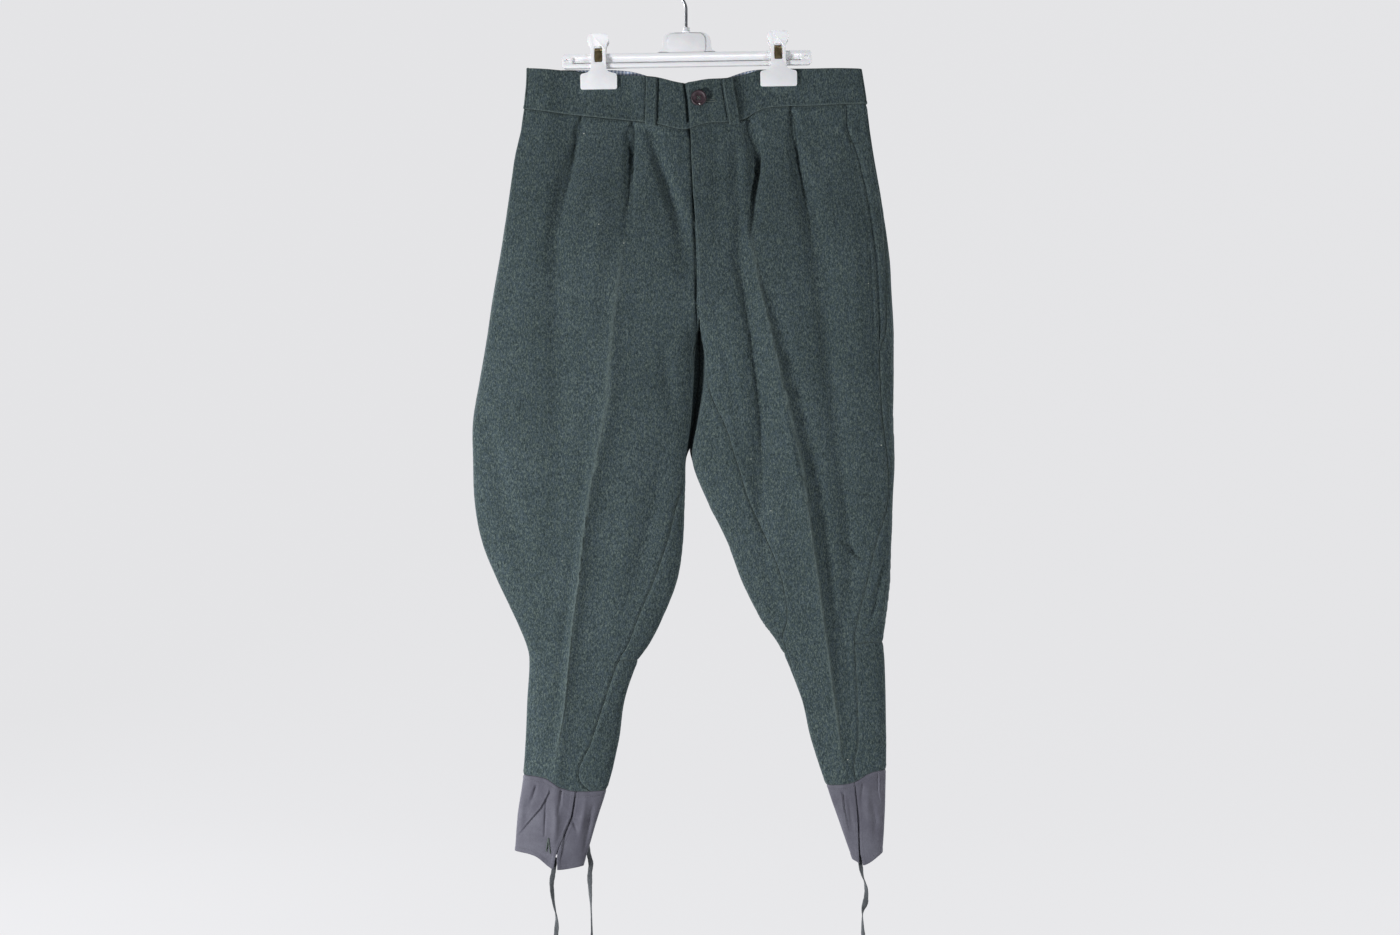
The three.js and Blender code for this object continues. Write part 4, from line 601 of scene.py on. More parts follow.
BAND_STROKES = {
    ("right", "front"): strokes_in("""
trough 0 -2.1 -146.9 2.76 1.5, 1 -167.2 2.76 1.5, 3 -195.1 3.22 1.5;
trough 0 -50.4 -141.8 1.03 1.1, -51.1 -167.2 1.15 1.1, -52.4 -192.6 1.15 1.1;
trough 0 -35.8 -141.8 1.03 1.1, -36.6 -167.2 1.15 1.1, -37.4 -195.1 1.15 1.1;
trough 0 -18.1 -157 0 4, -23.1 -172.3 0.8 5, -30.8 -190.1 0 4;
ridge 0 -179.4 -141.8 0 12, -173 -162.1 0.88 14, -175.5 -177.4 0 12;
trough 0 -84.1 -157 0 7, -73.9 -172.3 0.92 8, -66.3 -190.1 0 7;"""),
    ("left", "front"): strokes_in("""
trough 0 44.9 -144.3 1.03 1.1, 49.2 -172.3 1.15 1.1, 53.8 -200.2 1.15 1.1;
trough 0 59.4 -141.8 1.03 1.1, 63.7 -172.3 1.15 1.1, 68.6 -197.7 1.15 1.1;
trough 0 32.7 -149.4 0 3, 27.7 -162.1 0.69 4, 22.6 -177.4 0 3;
trough 0 83.5 -146.9 0 7, 78.5 -164.7 0.92 8, 74.6 -182.4 0 7;
ridge 0 144.5 -136.7 0 12, 152.1 -154.5 0.88 14, 148.3 -169.7 0 12;"""),
}
CUFF_STROKES = {
    ("right", "front"): strokes_in("""
lap 1 -173 -1039.7 0 1.2, -174.3 -1046 2.27 1.2, -184.4 -1065.1 2.46 1.3, -200.9 -1084.1 1.89 1.3,
  -217.5 -1104.5 0 1.3;
trough 0 -178.1 -1054.9 0.72 1.2, -178.6 -1075.2 1.93 1.3, -179.4 -1099.4 0.97 1.3;
trough 0 -190.8 -1038.4 2.17 1.6, -194.6 -1051.1 1.69 2.2, -200.9 -1063.8 0 3;
lap 1 -140 -1044.8 1.89 1.2, -145.8 -1076.3 2.46 1.3, -154.3 -1095.6 2.27 1.3,
  -157.8 -1121 1.13 1.3;
trough 0 -145.1 -1079.1 0 1.4, -141.2 -1086.7 2.17 1.5, -137.4 -1095.6 0 1.5;
ridge 0 -165.4 -1056.2 0 3, -164.1 -1081.6 2.08 4, -166.6 -1109.5 0 3;
ridge 0 -126 -1051.1 0 3, -131.1 -1079.1 2.31 4, -136.2 -1113.4 0 4;
trough 0 -117.1 -1056.2 0 2.5, -122.2 -1084.1 2.17 3, -128.5 -1119.7 0.72 3;
trough 0 -157.8 -1043.5 1.93 1.5, -159 -1058.7 1.21 2, -162.8 -1076.5 0 2;
ridge 0 -206 -1043.5 0 3, -208.6 -1075.2 1.62 4, -212.4 -1109.5 0 4;"""),
    ("left", "front"): strokes_in("""
lap 1 192.8 -1043.5 0.76 1.3, 197 -1047.3 2.84 1.4, 198.6 -1063.8 2.46 1.5, 202.9 -1081.6 1.13 1.6,
  208 -1101.9 0 1.6;
lap 1 212.6 -1038.4 1.51 1.2, 217.1 -1082.6 2.08 1.2, 218.5 -1119.7 1.51 1.2;
lap -1 244.1 -1025.7 2.27 1.3, 244.1 -1043.5 2.27 1.3, 247.4 -1058.7 0 1.3;
ridge 0 230.9 -1033.3 0 3, 229.6 -1062.5 2.08 4, 233.4 -1096.8 0 4;
trough 0 204.2 -1047.3 0 2, 208 -1071.4 2.17 2.6, 210.5 -1096.8 0 2.6;
trough 0 223.2 -1035.9 1.69 1.6, 222 -1051.1 0.97 2, 223.2 -1068.9 0 2;
trough 0 235.9 -1056.2 0 2, 239.8 -1081.6 1.69 3, 238.5 -1109.5 0 3;"""),
    ("right", "back"): strokes_in("""
lap -1 -160.3 -1033.3 1.51 1.3, -164.1 -1063.8 2.27 1.4, -169.2 -1099.4 0.95 1.4;
trough 0 -190.8 -1038.4 1.45 2, -185.7 -1071.4 2.17 3, -190.8 -1107 0 3;
ridge 0 -134.9 -1046 0 3, -137.4 -1079.1 2.08 4, -142.5 -1114.6 0 4;"""),
    ("left", "back"): strokes_in("""
lap 1 223.2 -1033.3 1.51 1.3, 225.8 -1063.8 2.27 1.4, 228.3 -1099.4 0.95 1.4;
trough 0 205.5 -1043.5 1.45 2, 210.5 -1074 1.93 3, 213.1 -1104.5 0 3;"""),
}


def stroke_height(kind, lower, points, x, z):
    nearest = np.full(x.shape, 1e9)
    height = np.zeros(x.shape)
    for (ax, az, ad, aw), (bx, bz, bd, bw) in zip(points, points[1:]):
        dx, dz = bx - ax, bz - az
        size = math.hypot(dx, dz)
        share = np.clip(((x - ax) * dx + (z - az) * dz) / size ** 2, 0, 1)
        gap_x, gap_z = x - ax - share * dx, z - az - share * dz
        gap = np.hypot(gap_x, gap_z)
        side = np.sign((gap_x * -dz + gap_z * dx) / size) * (lower or 1)
        depth, width = ad + (bd - ad) * share, aw + (bw - aw) * share
        across = gap / width
        if kind == "lap":
            low = np.exp(-gap / (5 * width)) * smooth_step(0.5 + gap / 2.4)
            lip = np.exp(-across ** 2) * 0.35
            high = np.where(gap < 1.2, lip - smooth_step(0.5 - gap / 2.4), lip)
            here = depth * np.where(side > 0, -low, high)
        elif kind == "crest":
            here = depth * (np.exp(-across ** 2) - np.where(side > 0, 0.7, 0) * np.exp(-across / 5))
        else:
            here = depth * np.exp(-across ** 2) * (1 if kind == "ridge" else -1)
        height = np.where(gap < nearest, here, height)
        nearest = np.minimum(gap, nearest)
    return height


def creases(strokes, leg, is_front, x, z):
    height = np.zeros(x.shape)
    for face, shown in (("front", is_front), ("back", ~is_front)):
        for kind, lower, points in strokes.get((leg["name"], face), []):
            xs, zs = [p[0] for p in points], [p[1] for p in points]
            near = shown & (x > min(xs) - 60) & (x < max(xs) + 60)
            near &= (z > min(zs) - 60) & (z < max(zs) + 60)
            height[near] += stroke_height(kind, lower, points, x[near], z[near])
    return height


def crest_wear_and_highlight(strokes, leg, is_front, x, z):
    """How far the pressed crests are painted pale, from 0 to 1: partly worn nap, partly a painted
    highlight.
    """
    worn = np.zeros(x.shape)
    for face, shown in (("front", is_front), ("back", ~is_front)):
        for kind, _, points in strokes.get((leg["name"], face), []):
            if kind == "crest":
                line = [(px, pz, 1.0 if 0 < k < len(points) - 1 else 0.0, 2.6)
                        for k, (px, pz, _, _) in enumerate(points)]
                worn = np.maximum(worn, shown * stroke_height("ridge", 0, np.array(line), x, z))
    return worn


def unevenness(x, z, is_front, size):
    """No cloth that has been worn hangs quite flat."""
    turn = np.where(is_front, 0, 2.1)
    slow = np.sin(x / 31 + z / 97 + turn) * np.sin(z / 63 - x / 140 + 1.3 + turn)
    quick = np.sin(x / 13.7 - z / 41 + turn) * np.sin(z / 23.5 + x / 57 + 0.4)
    return size * (slow + 0.45 * quick)


all_strokes = [*STROKES.values(), *BAND_STROKES.values(), *CUFF_STROKES.values()]
print("strokes:", sum(len(strokes) for strokes in all_strokes))

# %% [markdown]
# ## A panel of cloth
# A panel lies between two lines that run down the leg. Its columns are spread evenly along the
# cloth, with three close ones at each edge. Its rows bend to meet the seam at the top and the
# bottom. The face gets the creases, its edges are rounded as turned cloth is, and a sewn edge
# also rolls in towards its seam. A second face lies one wall behind, and the two are joined all
# round, so each panel is a closed thin shell.

# %% Panel
Z_LINE = np.arange(-108.0, -1152.0, -2.5)
EDGE_STEPS = np.array([0, 0.3, 0.9, 2.0])
EDGE_ROUND = 0.75


def columns_between(leg, start, end, spacing, reach):
    """Angles of the columns at each height, and each column's distance from its nearer edge."""
    share = np.linspace(0, 1, 161)
    angles = start[:, None] * (1 - share) + end[:, None] * share
    points = cloth_point(leg, Z_LINE[:, None] + 0 * angles, angles, reach)
    arc = np.concatenate([np.zeros((len(Z_LINE), 1)),
                          np.cumsum(np.linalg.norm(np.diff(points, axis=1), axis=-1), axis=1)], 1)
    length = arc[:, -1:]
    count = max(int(np.percentile(length, 92) / spacing), 4)
    inner = np.linspace(0, 1, count + 1)[1:-1]
    middle = EDGE_STEPS[-1] + (length - 2 * EDGE_STEPS[-1]) * inner
    places = np.concatenate([EDGE_STEPS + 0 * length, middle, length - EDGE_STEPS[::-1]], 1)
    columns = np.array([np.interp(p, a, g) for p, a, g in zip(places, arc, angles)])
    return columns.T, np.minimum(places, length - places).T


def at_heights(lines, z):
    return np.stack([np.interp(-z[:, j], -Z_LINE, lines[j]) for j in range(len(lines))], 1)


def rows_with_edges(first, last, spacing):
    count = max(int((first - last) / spacing), 3)
    middle = np.linspace(first - EDGE_STEPS[-1], last + EDGE_STEPS[-1], count)
    return np.concatenate([first - EDGE_STEPS[:-1], middle, last + EDGE_STEPS[:-1][::-1]])


def shell(name, outer, inner):
    rows, columns = outer.shape[:2]
    points = np.concatenate([outer.reshape(-1, 3), inner.reshape(-1, 3)])
    index = np.arange(rows * columns).reshape(rows, columns)
    other = index + rows * columns
    face = grid_faces(rows, columns)
    back = grid_faces(rows, columns, rows * columns)[:, ::-1]
    rims = []
    for line, mate in ((index[0], other[0]), (index[-1][::-1], other[-1][::-1]),
                       (index[::-1, 0], other[::-1, 0]), (index[:, -1], other[:, -1])):
        rims.append(np.stack([line[1:], line[:-1], mate[:-1], mate[1:]], -1))
    faces = np.concatenate([face, back] + rims)
    a, b, c, d = (points[faces[:, k]] for k in range(4))
    volume = np.einsum("ij,ij->i", a, np.cross(b, c) + np.cross(c, d)).sum()
    return mesh_object(name, points, faces[:, ::-1] if volume < 0 else faces)


def area_of(grid):
    diagonals = np.cross(grid[1:, 1:] - grid[:-1, :-1], grid[1:, :-1] - grid[:-1, 1:])
    return np.linalg.norm(diagonals, axis=-1).sum() / 2


flat_sizes = {}


def panel(name, leg, start, end, rows, wall, lift, reach=no_reach, spacing=2.4, sewn="",
          strokes=STROKES, uneven=0.35, shape=None, roll=np.ones_like, move=None):
    columns, gaps = columns_between(leg, start, end, spacing, reach)
    z = np.stack([row(0.0, 1.0) + 0 * columns[:, 0] for row in rows])
    for _ in range(5):
        angle = at_heights(columns, z)
        x = cloth_point(leg, z, angle, reach)[..., 0]
        z = np.stack([row(x[i], angle[i]) for i, row in enumerate(rows)])
    angle = at_heights(columns, z)
    point = cloth_point(leg, z, angle, reach)
    normal = cloth_normal(leg, z, angle, reach)
    x = point[..., 0]
    is_front = np.sin(angle) >= 0
    beside = at_heights(gaps, z)
    half = (len(gaps) + 1) // 2
    first, last = beside.copy(), beside.copy()
    first[:, half:], last[:, :half] = 1e3, 1e3
    above, below = np.abs(z - z[0]), np.abs(z - z[-1])
    from_edge = {"start": first, "end": last, "top": above, "bottom": below}
    height = creases(strokes, leg, is_front, x, z)
    height += unevenness(x, z, is_front, uneven) * fade(np.minimum(above, below), 0, 25)
    for edge in sewn.split():
        here = roll(z) if edge == "start" else 1.0
        height -= 0.9 * here * (1 - fade(from_edge[edge], 0.2, 3.4))
        height += 0.25 * here * np.exp(-((from_edge[edge] - 5.2) / 1.8) ** 2)
    if shape:
        height += shape(x, z, from_edge, is_front)
    edge = np.minimum(np.minimum(first, last), np.minimum(above, below))
    bend = np.clip(EDGE_ROUND - edge, 0, EDGE_ROUND)
    rounding = min(EDGE_ROUND, wall * 0.45) * (1 - np.sqrt(1 - (bend / EDGE_ROUND) ** 2))
    outer = point + normal * (lift + height - rounding)[..., None]
    inner = point + normal * (lift + height - wall + rounding)[..., None]
    if move:
        outer, inner = move(leg, outer, 0), move(leg, inner, wall)
    piece = shell(name, outer, inner)
    # Crests and the last 1.6 mm at every panel's edge are painted paler: partly worn nap, partly a
    # painted highlight where they catch the light.
    nap = 0.26 * crest_wear_and_highlight(strokes, leg, is_front, x, z) + 0.2 * (1 - fade(edge, 0.3, 1.6))
    wear_and_highlight = piece.data.attributes.new("wear_and_highlight", "FLOAT", "POINT")
    wear_and_highlight.data.foreach_set("value", np.concatenate([np.clip(nap, 0, 1).ravel(), 0 * nap.ravel()]))
    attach(piece, "root")
    across = np.linalg.norm(np.diff(outer, axis=1), axis=-1).sum(1).max()
    down = np.linalg.norm(np.diff(outer, axis=0), axis=-1).sum(0).max()
    flat = (round(across * MM, 3), round(down * MM, 3))
    area = min(area_of(outer) * MM ** 2, flat[0] * flat[1])
    flat_sizes[name] = (*flat, round(area, 4))
    print(name, "cut across, down and area:", flat_sizes[name], "faces:", len(piece.data.polygons))
    return piece


# %% [markdown]
# ## Rows
# A panel's rows run level in the middle. Near the top they bend to follow the waist seam, and
# near the bottom they bend to the knee or cuff seam.

# %% Rows
def rows_through(top_level, bottom_level, top, bottom, spacing):
    heights = rows_with_edges(top_level, bottom_level, spacing)

    def row(height):
        pull_up = 1 - fade(height, top_level, top_level - 110)
        pull_down = fade(height, bottom_level + 60, bottom_level)
        return lambda x, angle: (height + pull_up * (top(x, angle) - top_level)
                                 + pull_down * (bottom(x, angle) - bottom_level))
    return [row(h) for h in heights]


def rows_between(length, top, bottom, spacing):
    shares = -rows_with_edges(0, -length, spacing) / length
    return [lambda x, angle, s=s: top(x, angle) * (1 - s) + bottom(x, angle) * s for s in shares]


def by_face(rows):
    return lambda x, angle: np.where(np.sin(angle) >= 0, curve(rows, "front", x, "x"),
                                     curve(rows, "back", x, "x"))


def seam_lines(leg):
    z = leg["rows"]["z"]
    seams = {"z": z}
    for key, edge in (("inseam", "inner"), ("side", "outer"), ("facing", "outer")):
        seams[key] = angle_at_inset(leg, z, leg["rows"][key], edge)
    inseam = np.where(Z_LINE > FORK[1], 0, curve(seams, "inseam", Z_LINE))
    # Under the band the pocket's edge starts at once where it is at z -190
    side = curve(seams, "side", np.minimum(Z_LINE, -190))
    return inseam, side, np.maximum(curve(seams, "facing", Z_LINE), side)


SEWN_GAP = 0.03
WOOL = 2.0
# Heights of the panels' level rows: under the band, the pocket's end, the knee and the cuff
TOP, POCKET_END, KNEE, CUFF = -186, -487, -876, -1032


def fly_reach(z):
    return 8 * (1 - fade(z, -420, -452))


def level_line(level):
    return lambda x, angle: level + 0 * x


def fly_fullness(x, z, from_edge, is_front):
    """The fly's edge is turned and pressed, so it's a little thicker along a 6 mm strip."""
    return np.where(z > -440, 0.35 * (1 - fade(from_edge["start"], 5, 8)), 0)


def thighs_touch(leg, point, depth):
    """Behind the fork the thighs bear on each other in a shallow wave, so no light shows through."""
    x, y, z = np.moveaxis(point, -1, 0)
    middle, half, _ = section(leg, z)
    contact = (curve(left_rows, "inner", z) + curve(right_rows, "inner", z)) / 2
    contact = contact - leg["way"] * (0.15 + depth)
    contact += 1.6 * np.sin((y - 11) / 6.5)
    share = fade(z, -422, -440) * (1 - fade(z, -606, -640))
    share *= fade(y, 1.5, 9) * fade(leg["way"] * (x - middle) / half, 0.7, 0.88)
    return np.stack([x + (contact - x) * share, y, z], -1)


def front_roll(z):
    """The inseam rolls in below the fork only, as the fly's edge above is flat."""
    return fade(z, -478, -500)


def back_roll(z):
    """The back's inner edge is sewn flat just round the fork, where both legs' seams cross."""
    return 1 - fade(z, -395, -408) + fade(z, -478, -500)


panels = {}
for name, leg in legs.items():
    inseam, side, facing = seam_lines(leg)
    reach = fly_reach if name == "right" else no_reach
    under_band = lambda x, angle: seam_at(x, np.sin(angle) >= 0) - SEWN_GAP
    to_cuff = by_face(CUFF_SEAM[name])
    above_cuff = lambda x, angle, to_cuff=to_cuff: to_cuff(x, angle) + SEWN_GAP
    knee = lambda x, angle, rows=KNEE_SEAM[name]: curve(rows, "z", x, "x")
    upper_knee = lambda x, angle, knee=knee: knee(x, angle) + SEWN_GAP
    lower_knee = lambda x, angle, knee=knee: knee(x, angle) - SEWN_GAP

    def edge(line, side_of, leg=leg, reach=no_reach):
        return step_along(leg, Z_LINE, line, side_of * SEWN_GAP, reach)

    panels["front_" + name] = panel(
        "front_cloth_" + name, leg, edge(inseam, 1, reach=reach), edge(side, -1),
        rows_through(TOP, CUFF, under_band, above_cuff, 3.0), WOOL, -0.6, reach,
        sewn="top bottom end start", roll=front_roll, shape=fly_fullness if name == "left" else None)
    # The facing starts under the pocket's edge and comes up to the side seam behind it
    panels["pocket_facing_" + name] = panel(
        "pocket_facing_cloth_" + name, leg, step_along(leg, Z_LINE, side, -4.5), edge(facing, -1),
        rows_through(TOP, POCKET_END, under_band, level_line(POCKET_END), 4), WOOL, -0.7,
        uneven=0.1, sewn="end",
        shape=lambda x, z, e, f: -2.1 * (1 - fade(e["start"], 4.5, 11)))
    panels["back_" + name] = panel(
        "back_cloth_" + name, leg, edge(inseam, -1), edge(facing - 2 * math.pi, 1),
        rows_through(TOP, KNEE, under_band, upper_knee, 4.5), WOOL, -0.6, spacing=3.6,
        sewn="top bottom start end", uneven=0.6, roll=back_roll, move=thighs_touch)
    panels["calf_" + name] = panel(
        "calf_cloth_" + name, leg, edge(inseam, -1), edge(side - 2 * math.pi, 1),
        rows_through(KNEE, CUFF, lower_knee, above_cuff, 4), WOOL, -0.6, spacing=3,
        sewn="top bottom start end", uneven=0.5)

# %% [markdown]
# ## The waistband
# The band is a double layer with a turned top edge. The clips press it in. Its lower edge covers
# the waist seam and stands a little away from the cloth, which draws the soft dark line under it.
# On the right it runs on behind the left one, as an underlap for the button.

# %% Waistband
BAND_WALL = 3.0
BAND_HEIGHT = 54
UNDERLAP = 29


def band_shape(front):
    def shape(x, z, from_edge, is_front):
        pucker = 0.16 * np.sin(x / 2.9) * np.sin(x / 7.7 + 1) * np.exp(-from_edge["bottom"] / 6)
        height = pucker + 0.3 * np.exp(-((from_edge["bottom"] - 1.8) / 1.6) ** 2)
        height -= 0.22 * np.exp(-((from_edge["bottom"] - 5.2) / 1.0) ** 2)
        height += 0.5 * np.sin(x / 17 + 0.5) * np.exp(-from_edge["top"] / 14)
        if front:
            lifted = fade(x, -131, -118) * (1 - fade(x, -66, -54))
            height += 1.5 * lifted * np.exp(-from_edge["bottom"] / 9)
        return height
    return shape


for name, leg in legs.items():
    for front in (True, False):
        reach = (lambda z: 0 * z + UNDERLAP) if name == "right" and front else no_reach
        turn = 1 if front else -1
        end = angle_at_inset(leg, Z_LINE, 2 + 0 * Z_LINE, "outer") - (0 if front else 2 * math.pi)
        where = "front" if front else "back"
        top = lambda x, angle, key=where: curve(WAIST, key, x, "x")
        bottom = lambda x, angle, front=front: seam_at(x, np.full(np.shape(x), front))
        panels["waistband_" + where + "_" + name] = panel(
            "waistband_cloth_" + where + "_" + name, leg,
            step_along(leg, Z_LINE, 0 * Z_LINE, turn * SEWN_GAP, reach),
            step_along(leg, Z_LINE, end, -turn * SEWN_GAP, reach),
            rows_between(BAND_HEIGHT, top, bottom, 2.0), BAND_WALL, 0, reach, spacing=1.6,
            strokes=BAND_STROKES, uneven=0.3, shape=band_shape(front))

# %% [markdown]
# ## The lining
# A pale blue-white strip faces the inside of the waistband and shows above its front edge.

# %% Lining
LINING_SPAN = {"right": (-46, -140), "left": (44, 94)}
for name, leg in legs.items():
    from_x, to_x = (-angle_at_x(leg, Z_LINE, x) for x in LINING_SPAN[name])
    top = lambda x, angle: curve(WAIST, "back", x, "x") - 0.8
    bottom = lambda x, angle: curve(WAIST, "back", x, "x") - 24
    panels["lining_strip_" + name] = panel(
        "lining_cloth_" + name, leg, from_x, to_x, rows_between(23, top, bottom, 2), 0.8, -3.95,
        spacing=2, strokes={}, uneven=0.1,
        shape=lambda x, z, e, f: 0.12 * np.sin(x / 4.1) * np.exp(-e["top"] / 5))

# %% [markdown]
# ## Belt loops
# Each loop is a strip folded to 13 mm with its edges sewn down, so it is a little thicker along
# both edges. Its ends are turned under and bear on the band.

# %% Belt loops
# Each loop's leg, its place along the band at its top and its foot, and 1 in front or -1 behind
LOOPS = {
    "belt_loop_front_right": ("right", -44, -45, 1),
    "belt_loop_front_left": ("left", 53, 60.8, 1),
    "belt_loop_side_right": ("right", -188, -191, -1),
    "belt_loop_side_left": ("left", 210, 213, -1),
    "belt_loop_back": ("left", 14, 14, -1),
}


def loop_shape(x, z, from_edge, is_front):
    side = np.minimum(from_edge["start"], from_edge["end"])
    end = np.minimum(from_edge["top"], from_edge["bottom"])
    edges = 0.45 * np.exp(-((side - 1.5) / 0.9) ** 2) - 0.25 * np.exp(-((side - 3.1) / 0.6) ** 2)
    middle = 0.5 * smooth_step(end / 22) - 0.55 * (1 - smooth_step(end / 4))
    return edges + middle + 0.12 * np.sin(z / 5.3)


for node, (name, top_x, bottom_x, sign) in LOOPS.items():
    leg, front = legs[name], sign > 0
    middle = top_x + (bottom_x - top_x) * fade(Z_LINE, -140, -200)
    lines = [sign * angle_at_x(leg, Z_LINE, middle + offset) for offset in (-6.5, 6.5)]
    top = lambda x, angle, front=front: curve(WAIST, "front" if front else "back", x, "x") - 1
    bottom = lambda x, angle, front=front: seam_at(x, np.full(np.shape(x), front)) - 4
    panels[node] = panel(
        node.replace("loop", "loop_cloth"), leg, lines[0], lines[1], rows_between(60, top, bottom, 2),
        1.6, 1.6 + 0.55, spacing=1.2, strokes={}, uneven=0.05, shape=loop_shape)

# %% [markdown]
# ## Cuffs
# Each cuff is one strip of cotton twill round the leg, from one edge of its slit to the other.
# Creases run down from the seam where the wide leg is gathered into it. A hem is turned up and
# sewn at the bottom.

# %% Cuffs
CUFF_WALL = 1.5
CUFF_HEIGHT = 105
SLIT_FROM = -1000


def hem_shape(x, z, from_edge, is_front):
    stitched = -0.35 * np.exp(-((from_edge["bottom"] - 5.5) / 0.7) ** 2)
    turned = 0.35 * (1 - fade(from_edge["bottom"], 5, 6.5))
    seam = -0.3 * np.exp(-((from_edge["top"] - 6) / 0.8) ** 2)
    seam -= 0.5 * (1 - fade(from_edge["top"], 0, 2))
    gathers = 0.28 * np.sin(x / 2.6 + z / 19) * np.sin(x / 6.3 + 2) * np.exp(-from_edge["top"] / 16)
    ripple = 0.22 * np.sin(x / 4.4 + 1) * np.exp(-from_edge["bottom"] / 9)
    sides = np.minimum(from_edge["start"], from_edge["end"])
    placket = 0.25 * (1 - fade(sides, 5, 6)) - 0.25 * np.exp(-((sides - 5) / 0.6) ** 2)
    return stitched + turned + seam + gathers + ripple + placket


for name, leg in legs.items():
    slit = angle_at_x(leg, Z_LINE, curve(SLIT[name], "x", Z_LINE))
    open_by = curve(SLIT[name], "open", Z_LINE) / 2
    near, far = np.zeros((2, len(Z_LINE)))
    for k, z in enumerate(Z_LINE):
        if z < SLIT_FROM:
            here, half_open = (leg, Z_LINE[k:k + 1], slit[k:k + 1]), float(open_by[k])
            near[k], far[k] = step_along(*here, half_open)[0], step_along(*here, -half_open)[0]
        else:
            near[k], far[k] = slit[k] + 0.002, slit[k] - 0.002
    top, bottom = by_face(CUFF_SEAM[name]), by_face(HEM[name])
    panels["cuff_" + name] = panel(
        "cuff_cloth_" + name, leg, near, far + 2 * math.pi,
        rows_between(CUFF_HEIGHT, lambda x, a, top=top: top(x, a) - SEWN_GAP, bottom, 1.6),
        CUFF_WALL, -0.8, spacing=1.5, strokes=CUFF_STROKES, shape=hem_shape)

# %% [markdown]
# ## What stands for what
# Each fine piece stands for its own solid, which stays hidden underneath.

# %% Replace the plain solids
for node, piece in panels.items():
    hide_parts(node)
print("cloth pieces:", len(panels), "faces:", sum(len(p.data.polygons) for p in panels.values()))

# %% [markdown]
# ## Stitches
# Sewing shows as short beads of thread in a row. Each bead is a small rounded bar that follows
# the cloth, and a row of them is one piece.

# %% Stitches
STITCH_LENGTH, STITCH_PITCH, STITCH_WIDTH = 2.2, 3.0, 0.55
STITCH_LIFT = -0.75  # the cuff's face lies this far inside the leg's form
HEM_STITCHES, SEAM_STITCHES = 5.5, -6  # above the hem, and below the cuff's seam


def face_point(leg, x, z, lift, strokes, front=True):
    x, z = np.asarray(x, float), np.asarray(z, float)
    angle = angle_at_x(leg, z, x) * (1 if front else -1)
    point, normal = cloth_point(leg, z, angle), cloth_normal(leg, z, angle)
    rise = creases(strokes, leg, np.full(x.shape, front), x, z) + lift
    return point + normal * rise[..., None], normal


def stitch_row(name, leg, xs, zs, front):
    """Beads of thread along a line on a cuff."""
    reach = np.concatenate([[0], np.cumsum(np.hypot(np.diff(xs), np.diff(zs)))])
    at = np.arange(STITCH_PITCH / 2, reach[-1], STITCH_PITCH)
    points, faces = [], []
    ring = np.linspace(0, 2 * math.pi, 6, endpoint=False)
    for middle in at:
        along = middle + STITCH_LENGTH * np.array([-0.5, -0.36, 0, 0.36, 0.5])
        px, pz = np.interp(along, reach, xs), np.interp(along, reach, zs)
        place, normal = face_point(leg, px, pz, STITCH_LIFT, CUFF_STROKES, front)
        run = place[-1] - place[0]
        run /= np.linalg.norm(run)
        side = np.cross(run, normal[2])
        thick = STITCH_WIDTH / 2 * np.array([0.35, 0.85, 1, 0.85, 0.35])
        dip = np.array([-0.25, 0, 0.08, 0, -0.25])
        base = len(points)
        for j in range(5):
            for turn in ring:
                points.append(place[j] + normal[j] * (dip[j] + thick[j] * math.sin(turn) * 0.8)
                              + side * thick[j] * math.cos(turn))
        faces += tube_faces(5, 6, base)
    piece = mesh_object(name, points, faces, 80)
    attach(piece, "root")
    return piece


def across_leg(leg, level):
    """Places across a leg at a height, which stop a little short of both edges."""
    edges = [float(curve(leg["rows"], key, np.array([level]))[0]) for key in ("inner", "outer")]
    return np.linspace(min(edges) + 3, max(edges) - 3, 40)


threads = []
for name, leg in legs.items():
    for face in ("front", "back"):
        front = face == "front"
        x = across_leg(leg, -1128.0)
        z = curve(HEM[name], face, x, "x") + HEM_STITCHES
        gap = float(curve(SLIT[name], "x", np.array([-1130.0]))[0])
        parts = [x < gap - 4, x > gap + 4] if front else [np.full(x.shape, True)]
        for k, part in enumerate(parts):
            title = f"hem_stitches_{name}_{face}_{k}"
            threads.append(stitch_row(title, leg, x[part], z[part], front))
        x = across_leg(leg, -1040.0)
        z = curve(CUFF_SEAM[name], face, x, "x") + SEAM_STITCHES
        threads.append(stitch_row(f"seam_stitches_{name}_{face}", leg, x, z, front))
print("stitch rows:", len(threads))

# %% [markdown]
# ## Buttonholes
# A buttonhole is a slit whose edges are wound with close thread. Here a round cord follows a long
# loop on the cloth, with the dark slit left open in its middle. One is at the waist, mostly
# behind the button, and one is on the right cuff, pulled into a narrow bow.

# %% Buttonholes
def thread_loop(name, leg, xs, zs, lift, width, strokes):
    centres, _ = face_point(leg, xs, zs, lift, strokes)
    half = width / 2 * (1 + 0.16 * np.sin(np.arange(len(centres)) * 2.4))
    piece = swept(name, centres, half, half, 0 * xs, 8, 80)
    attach(piece, "root")
    return piece


